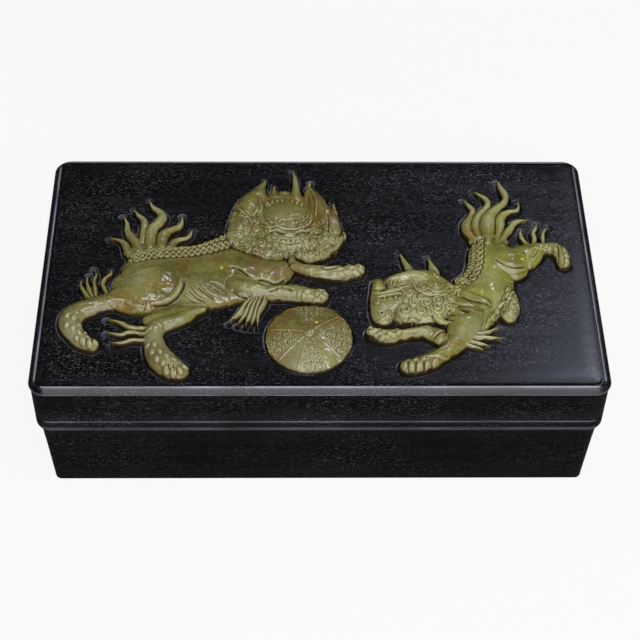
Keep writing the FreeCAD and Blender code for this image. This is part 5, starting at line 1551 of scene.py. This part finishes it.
def buildBoard():
    # the top board: a sheet of squares, halved near every edge, then shaped
    piece = newSheet("top_board", -panelHalf, panelHalf, board["margin"], board["pitch"])
    for band in board["bands"]:
        centres = faceCentres(piece)
        near = np.minimum(np.abs(recessEdge(centres)), np.abs(boardEdge(centres) + 0.5))
        selectFaces(piece, near < band)
        bpy.ops.mesh.subdivide(number_cuts=1)
        bpy.ops.object.mode_set(mode="OBJECT")
    points = readPoints(piece)
    flat = points[:, :2]
    fine = board["pitch"] / 2 ** len(board["bands"])
    inside, beyond = [share * fine for share in board["snapShares"]]
    for edgeOf in (recessEdge, boardEdge):
        distance = edgeOf(flat)
        near = np.nonzero((distance > -inside) & (distance < beyond))[0]
        snapTo(flat, distance, edgeOf, near)
    sawn = -recessEdge(flat)
    rim = boardEdge(flat)
    drop = board["depth"] * np.clip(sawn / board["sawnWide"], 0, 1)
    drop += board["edgeWorn"] * np.clip(1 + np.minimum(sawn, 0) / board["eased"], 0, 1) ** 2
    drop = np.minimum(drop, board["depth"])
    drop += board["fall"] * np.clip(1 + rim / board["fallWide"], 0, 1) ** 2
    over = np.clip(rim + board["round"], 0, board["round"])
    drop = np.maximum(drop, board["round"] - np.sqrt(board["round"] ** 2 - over ** 2))
    points[:, 2] = panelTop - drop
    writePoints(piece, points)
    # dust and painted sheen on the recess floor, away from the stones
    clear = np.min([outlineOf(name, flat, 7) for name in allStones], axis=0)
    start, fade = board["dustAndSheen"]
    paint(piece, "recess", np.clip(sawn / 0.3, 0, 1) * np.clip((clear - start) / fade, 0, 1))
    # painted highlight along the recess's edge, in places
    patchy = np.clip(0.45 + 0.8 * np.sin(flat[:, 0] * 0.21 + 3 * np.sin(flat[:, 1] * 0.13)), 0, 1)
    place, wide, strength = board["rimHighlight"]
    paint(piece, "edge", strength * np.exp(-((sawn + place) / wide) ** 2) * patchy)
    deleteFaces(piece, boardEdge(faceCentres(piece)) > 0)
    closeBelow(piece, board["under"], board["smoothAngle"])
    print("top board", len(piece.data.polygons), "faces")
    return dress(piece, woodAlongX, "lid", ["lid_panel"])


buildBoard()

joinery = {
    "halfWidth": 130.0,
    "halfDepth": 74.0,
    "corner": 8.0,
    # sections of the walls: how far in from the box's outermost face, and height
    "lid": [(1.06, 50.4), (1.7, 50.4), (10.2, 50.4), (10.2, 67.5), (4.1, 67.5), (4.1, 72.5),
            (3.4, 72.5), (3.4, 73.0), (3.2, 73.18), (2.86, 73.14), (2.2, 72.62), (1.4, 71.92),
            (0.6, 71.24), (0.14, 70.8), (0.0, 70.5), (0.2, 70.2), (0.6, 70.1), (0.7, 69.6),
            (0.66, 60.0), (0.66, 50.9), (0.8, 50.55)],
    "base": [(4.9, 0.4), (5.2, 0.0), (7.4, 0.0), (7.4, 6.0), (10.5, 6.0), (10.5, 50.4),
             (1.8, 50.4), (1.2, 50.4), (0.85, 50.3), (0.68, 49.9), (0.66, 47.0), (0.66, 44.5),
             (0.8, 44.1), (1.1, 43.6), (1.75, 42.0), (2.3, 40.7), (2.7, 39.4), (3.4, 29.0),
             (4.2, 14.0)],
    "straight": 40,         # steps along a side, and half round a corner
    "bent": 8,
    # heights of the arrises that carry a painted highlight
    "arrises": {"lid": (50.4, 70.4, 73.1), "base": (50.4, 44.3)},
    "arrisWide": 0.3,
    "smoothAngle": 34,
}


def buildWall(node, section, sideways, turn):
    # one mitred wall: its section carried along the side and half round each corner,
    # on a grid with one row for each point of the section
    run = joinery["halfDepth"] if sideways else joinery["halfWidth"]
    reach = joinery["halfWidth"] if sideways else joinery["halfDepth"]
    corner = joinery["corner"]
    stations = [(-1, math.radians(angle)) for angle in np.linspace(45, 0, joinery["bent"])]
    stations += [(way, 0.0) for way in np.linspace(-1, 1, joinery["straight"] + 2)[1:-1]]
    stations += [(1, math.radians(angle)) for angle in np.linspace(0, 45, joinery["bent"])]
    profile = joinery[section] + joinery[section][:1]
    deselectAll()
    bpy.ops.mesh.primitive_grid_add(x_subdivisions=len(stations) - 1, y_subdivisions=len(profile) - 1,
                                    size=1)
    piece = bpy.context.object
    points = readPoints(piece)
    across = np.rint((points[:, 0] / 1000 + 0.5) * (len(stations) - 1)).astype(int)
    upward = np.rint((points[:, 1] / 1000 + 0.5) * (len(profile) - 1)).astype(int)
    inset, height = np.array(profile)[upward].T
    way, angle = np.array(stations)[across].T
    radius = np.maximum(corner - inset, 0)
    # past the corner's axis the ends lie on the mitre
    far = run - np.maximum(corner, inset)
    along = np.where(np.abs(way) < 1, way * far, np.sign(way) * (far + radius * np.sin(angle)))
    outward = reach - np.maximum(corner, inset) + radius * np.cos(angle)
    points = np.stack([along, -outward, height], axis=1)
    points = points @ np.array(Matrix.Rotation(-turn, 3, "Z"))
    writePoints(piece, points)
    bpy.ops.object.mode_set(mode="EDIT")
    bpy.ops.mesh.select_all(action="SELECT")
    bpy.ops.mesh.remove_doubles(threshold=0.001 * mm)
    selectRim()
    closeSolid(joinery["smoothAngle"])
    piece.name = node.replace("wall", "board")
    piece.data.name = piece.name
    points = readPoints(piece)
    ridgeHighlight = np.max([np.exp(-((points[:, 2] - level) / joinery["arrisWide"]) ** 2)
                   for level in joinery["arrises"][section]], axis=0)
    half = np.array([joinery["halfWidth"], joinery["halfDepth"]])
    depth = -np.max(np.abs(points[:, :2]) - half, axis=1)
    # painted highlight only on the arrises on the outside: the moulding's upper one lies deeper
    outer = np.where(points[:, 2] > 60, depth < 3.3, depth < 1.5)
    paint(piece, "edge", ridgeHighlight * outer * (0.7 + 0.3 * ripple(points[:, :2], 30.0)))
    dress(piece, woodAlongY if sideways else woodAlongX, section, [node])


for section in ("lid", "base"):
    for quarter, side in enumerate(("front", "right", "back", "left")):
        buildWall(section + "_wall_" + side, section, quarter % 2 == 1, quarter * math.pi / 2)
print("walls built")

for name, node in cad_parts.items():
    if name == "bottom_board" or name.startswith("lip_strip"):
        node.data.materials.clear()
        node.data.materials.append(woodAlongY if name.endswith(("left", "right")) else woodAlongX)

print("box built")


# Inside the box

def buildSlab(node, name, corner, pitch, shape, painted):
    # a sheet cut to the node's rounded plan, shaped, and closed down to its foot
    low, high = [np.array(end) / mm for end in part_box(node)]

    def outside(spots):
        return roundedEdge(spots, low[:2], high[:2], corner) + 0.02

    piece = cutSheet(name, low, high, pitch, pitch, outside)
    points = readPoints(piece)
    spots = points[:, :2] - (low[:2] + high[:2]) / 2
    inner = -outside(points[:, :2])
    points[:, 2] = high[2] - shape(spots, inner)
    writePoints(piece, points)
    for label, amount in painted.items():
        paint(piece, label, amount(spots, inner))
    closeBelow(piece, low[2], 40)
    print(name, len(piece.data.vertices), "points")
    return piece


def easedEdge(inner, radius):
    # how far a rounded edge has dropped, this far in from the side
    over = np.clip(radius - inner, 0, radius)
    return radius - np.sqrt(radius ** 2 - over ** 2)


inkstoneForm = {
    "half": (75.0, 50.0),
    "edge": 1.5,
    "rim": 7.0,
    "wellCorner": 5.0,
    "faceDrop": 2.5,
    "poolDepth": 9.0,
    "poolLength": 22.0,
    "slope": 20.0,
    "borders": ((0.45, 2.9, 0.45), (0.3, 4.3, 0.35)),   # depth, distance in, half width
}


def inkstoneWell(spots):
    # how far inside the well's edge
    half = np.array(inkstoneForm["half"]) - inkstoneForm["rim"]
    return -roundedEdge(spots, -half, half, inkstoneForm["wellCorner"])


def inkstoneDrop(spots, inner):
    drop = easedEdge(inner, inkstoneForm["edge"])
    for depth, place, width in inkstoneForm["borders"]:
        drop += depth * np.exp(-((inner - place) / width) ** 2)
    poolEnd = inkstoneForm["rim"] + inkstoneForm["poolLength"] - inkstoneForm["half"][0]
    slide = np.clip((spots[:, 0] - poolEnd) / inkstoneForm["slope"], 0, 1)
    slide = slide * slide * (3 - 2 * slide)
    floor = inkstoneForm["poolDepth"] + (inkstoneForm["faceDrop"] - inkstoneForm["poolDepth"]) * slide
    reach = np.clip(inkstoneWell(spots) / 1.6, 0, 1)
    return drop + floor * reach * reach * (3 - 2 * reach)


def inkstoneInk(spots, inner):
    # ink has dried over the pool and a little way up the slope
    damp = np.clip((-38 - spots[:, 0] + 3 * ripple(spots, 23.0)) / 9, 0, 1)
    return damp * np.clip(inkstoneWell(spots) / 2, 0, 1)


padForm = {"edge": 0.9, "seamsApart": 9.9, "seamDepth": 0.4, "seamWidth": 0.7, "fullness": 0.06}


def padDrop(spots, inner):
    # a thin quilted pad: sewn lines cross it aslant, and it is full between them
    aslant = padForm["seamsApart"] * math.sqrt(2)
    u = (spots[:, 0] + spots[:, 1]) / aslant
    v = (spots[:, 0] - spots[:, 1]) / aslant
    seam = np.minimum(np.abs(u - np.rint(u)), np.abs(v - np.rint(v))) * padForm["seamsApart"]
    sewn = padForm["seamDepth"] * np.exp(-(seam / padForm["seamWidth"]) ** 2)
    return easedEdge(inner, padForm["edge"]) + sewn + padForm["fullness"] * np.clip(1 - seam / 3, 0, 1)


stickForm = {
    "edge": 1.0,
    "panel": 0.5,           # how deep the ground lies inside the stick's rim
    "rim": 1.4,
    "rails": ((1.0, 2.6, 0.42), (0.9, 4.0, 0.22)),      # strength, distance in, half width
    "flowers": ((0, 6.6), (31, 4.2), (-31, 4.2)),       # place along the stick, radius
    "petals": 8,
}


def giltLines(spots, inner):
    rails = sum(strength * np.exp(-((inner - place) / width) ** 4)
                for strength, place, width in stickForm["rails"])
    flowers = sum(np.clip(rosette(spots, 0, y, radius, 1.0, stickForm["petals"]), 0, 1)
                  for y, radius in stickForm["flowers"])
    return np.clip(rails + flowers * 2, 0, 1)


def stickDrop(spots, inner):
    ground = np.clip((inner - stickForm["rim"]) / 0.5, 0, 1) * (1 - giltLines(spots, inner))
    return easedEdge(inner, stickForm["edge"]) + stickForm["panel"] * ground


def buildTray():
    # the lining: a board with wells, wrapped in silk so that its edges turn softly
    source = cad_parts["tray"]
    piece = bpy.data.objects.new("silk_tray", source.data.copy())
    bpy.context.scene.collection.objects.link(piece)
    piece.matrix_world = source.matrix_world
    settle(piece, "silk_tray")
    bpy.ops.object.mode_set(mode="EDIT")
    bpy.ops.mesh.select_all(action="SELECT")
    bpy.ops.mesh.remove_doubles(threshold=0.01 * mm)
    bpy.ops.mesh.dissolve_limited(angle_limit=math.radians(1))
    bpy.ops.object.mode_set(mode="OBJECT")
    rounding = piece.modifiers.new("turned_silk", "BEVEL")
    rounding.width = 0.9 * mm
    rounding.segments = 3
    rounding.limit_method = "ANGLE"
    rounding.angle_limit = math.radians(50)
    bpy.ops.object.modifier_apply(modifier="turned_silk")
    bpy.ops.object.shade_smooth_by_angle(angle=math.radians(40))
    dress(piece, brocade, "base", ["tray"])


buildTray()
for node, corner in (("inkstone_pad", 9.0), ("ink_stick_pad", 2.5)):
    pad = buildSlab(node, "quilted_" + node, corner, 1.0, padDrop, {})
    dress(pad, brocade, "base", [node])
dress(buildSlab("inkstone", "carved_inkstone", 9.0, 0.8, inkstoneDrop, {"ink": inkstoneInk}),
      slateStone, "inkstone", ["inkstone"])
dress(buildSlab("ink_stick", "gilt_ink_stick", 2.5, 0.5, stickDrop, {"gilt": giltLines}),
      inkBlack, "ink_stick", ["ink_stick"])
print("inside dressed")


# Floor, light and camera

studio = {
    "floorSize": 6.0,
    "floorSeen": "#cccccc",
    "floorGlow": 0.9,       # share of the floor that the camera sees as plain white
    "floorUnseen": "#4c4c4c",
    "air": 0.06,            # light from all round
    # lamps: place and aim in metres, size, power in watts, colour
    "lamps": {
        "key_softbox": ((0.15, -0.8, 1.03), (0, 0, 0.07), (1.5, 0.7), 12, "#f2f4ff"),
        "overhead_strip": ((0.15, -0.26, 1.3), (0, 0, 0.07), (0.8, 0.14), 5, "#f2f4ff"),
        "window_right": ((0.57, 0.88, 1.44), (0.1, -0.05, 0.07), (0.24, 0.24), 4.0, "#dfe5ff"),
        "low_card": ((0.1, -1.3, 0.5), (0, 0, 0.05), (1.6, 0.4), 4, "#ffffff"),
    },
}


def buildFloor():
    # a pale floor that keeps the box's soft shadow
    deselectAll()
    bpy.ops.mesh.primitive_plane_add(size=studio["floorSize"], location=(0, 0, 0))
    floor = settle(bpy.context.object, "studio_floor")
    material = newMaterial("white_paper_sweep")
    seen = add(material, "MixShader", {
        0: studio["floorGlow"],
        1: add(material, "BsdfDiffuse", {"Color": linear(studio["floorSeen"])}).outputs[0],
        2: add(material, "Emission", {"Color": linear("#ffffff"), "Strength": 1.0}).outputs[0]})
    unseen = add(material, "BsdfDiffuse", {"Color": linear(studio["floorUnseen"])})
    eye = add(material, "LightPath").outputs["Is Camera Ray"]
    mixed = add(material, "MixShader", {0: eye, 1: unseen.outputs[0], 2: seen.outputs[0]})
    add(material, "OutputMaterial", {"Surface": mixed.outputs[0]})
    floor.data.materials.append(material)


def buildWorld():
    world = bpy.data.worlds.new("studio_air")
    bpy.context.scene.world = world
    world.use_nodes = True
    world.node_tree.nodes.clear()
    dim = add(world, "Background", {"Color": linear("#ffffff"), "Strength": studio["air"]})
    bright = add(world, "Background", {"Color": linear("#ffffff"), "Strength": 1.0})
    eye = add(world, "LightPath").outputs["Is Camera Ray"]
    mixed = add(world, "MixShader", {0: eye, 1: dim.outputs[0], 2: bright.outputs[0]})
    add(world, "OutputWorld", {"Surface": mixed.outputs[0]})


def addLamp(name, place, aim, size, power, colour):
    data = bpy.data.lights.new(name, "AREA")
    data.color = linear(colour)[:3]
    data.shape = "RECTANGLE"
    data.size, data.size_y = size
    data.energy = power
    lamp = bpy.data.objects.new(name, data)
    bpy.context.scene.collection.objects.link(lamp)
    lamp.location = place
    lamp.rotation_euler = (Vector(aim) - Vector(place)).to_track_quat("-Z", "Y").to_euler()


# the view in which the box was measured: its place in millimetres and its axes
lensView = {
    "lens": 93.66,
    "sensor": 36.0,
    "place": (-12.844, -526.985, 652.605),
    "right": (0.99985572, -0.01130273, 0.01267996),
    "up": (0.00036253, 0.76051253, 0.64932316),
}


def buildCamera():
    data = bpy.data.cameras.new("camera")
    data.lens = lensView["lens"]
    data.sensor_width = lensView["sensor"]
    data.clip_start = 0.01
    camera = bpy.data.objects.new("camera", data)
    bpy.context.scene.collection.objects.link(camera)
    right = Vector(lensView["right"])
    up = Vector(lensView["up"])
    turned = Matrix((right, up, right.cross(up))).transposed().to_4x4()
    camera.matrix_world = Matrix.Translation(Vector(lensView["place"]) * mm) @ turned
    bpy.context.scene.camera = camera


buildFloor()
buildWorld()
for name, settings in studio["lamps"].items():
    addLamp(name, *settings)
buildCamera()
bpy.context.scene.view_settings.view_transform = "Standard"
print("studio ready")
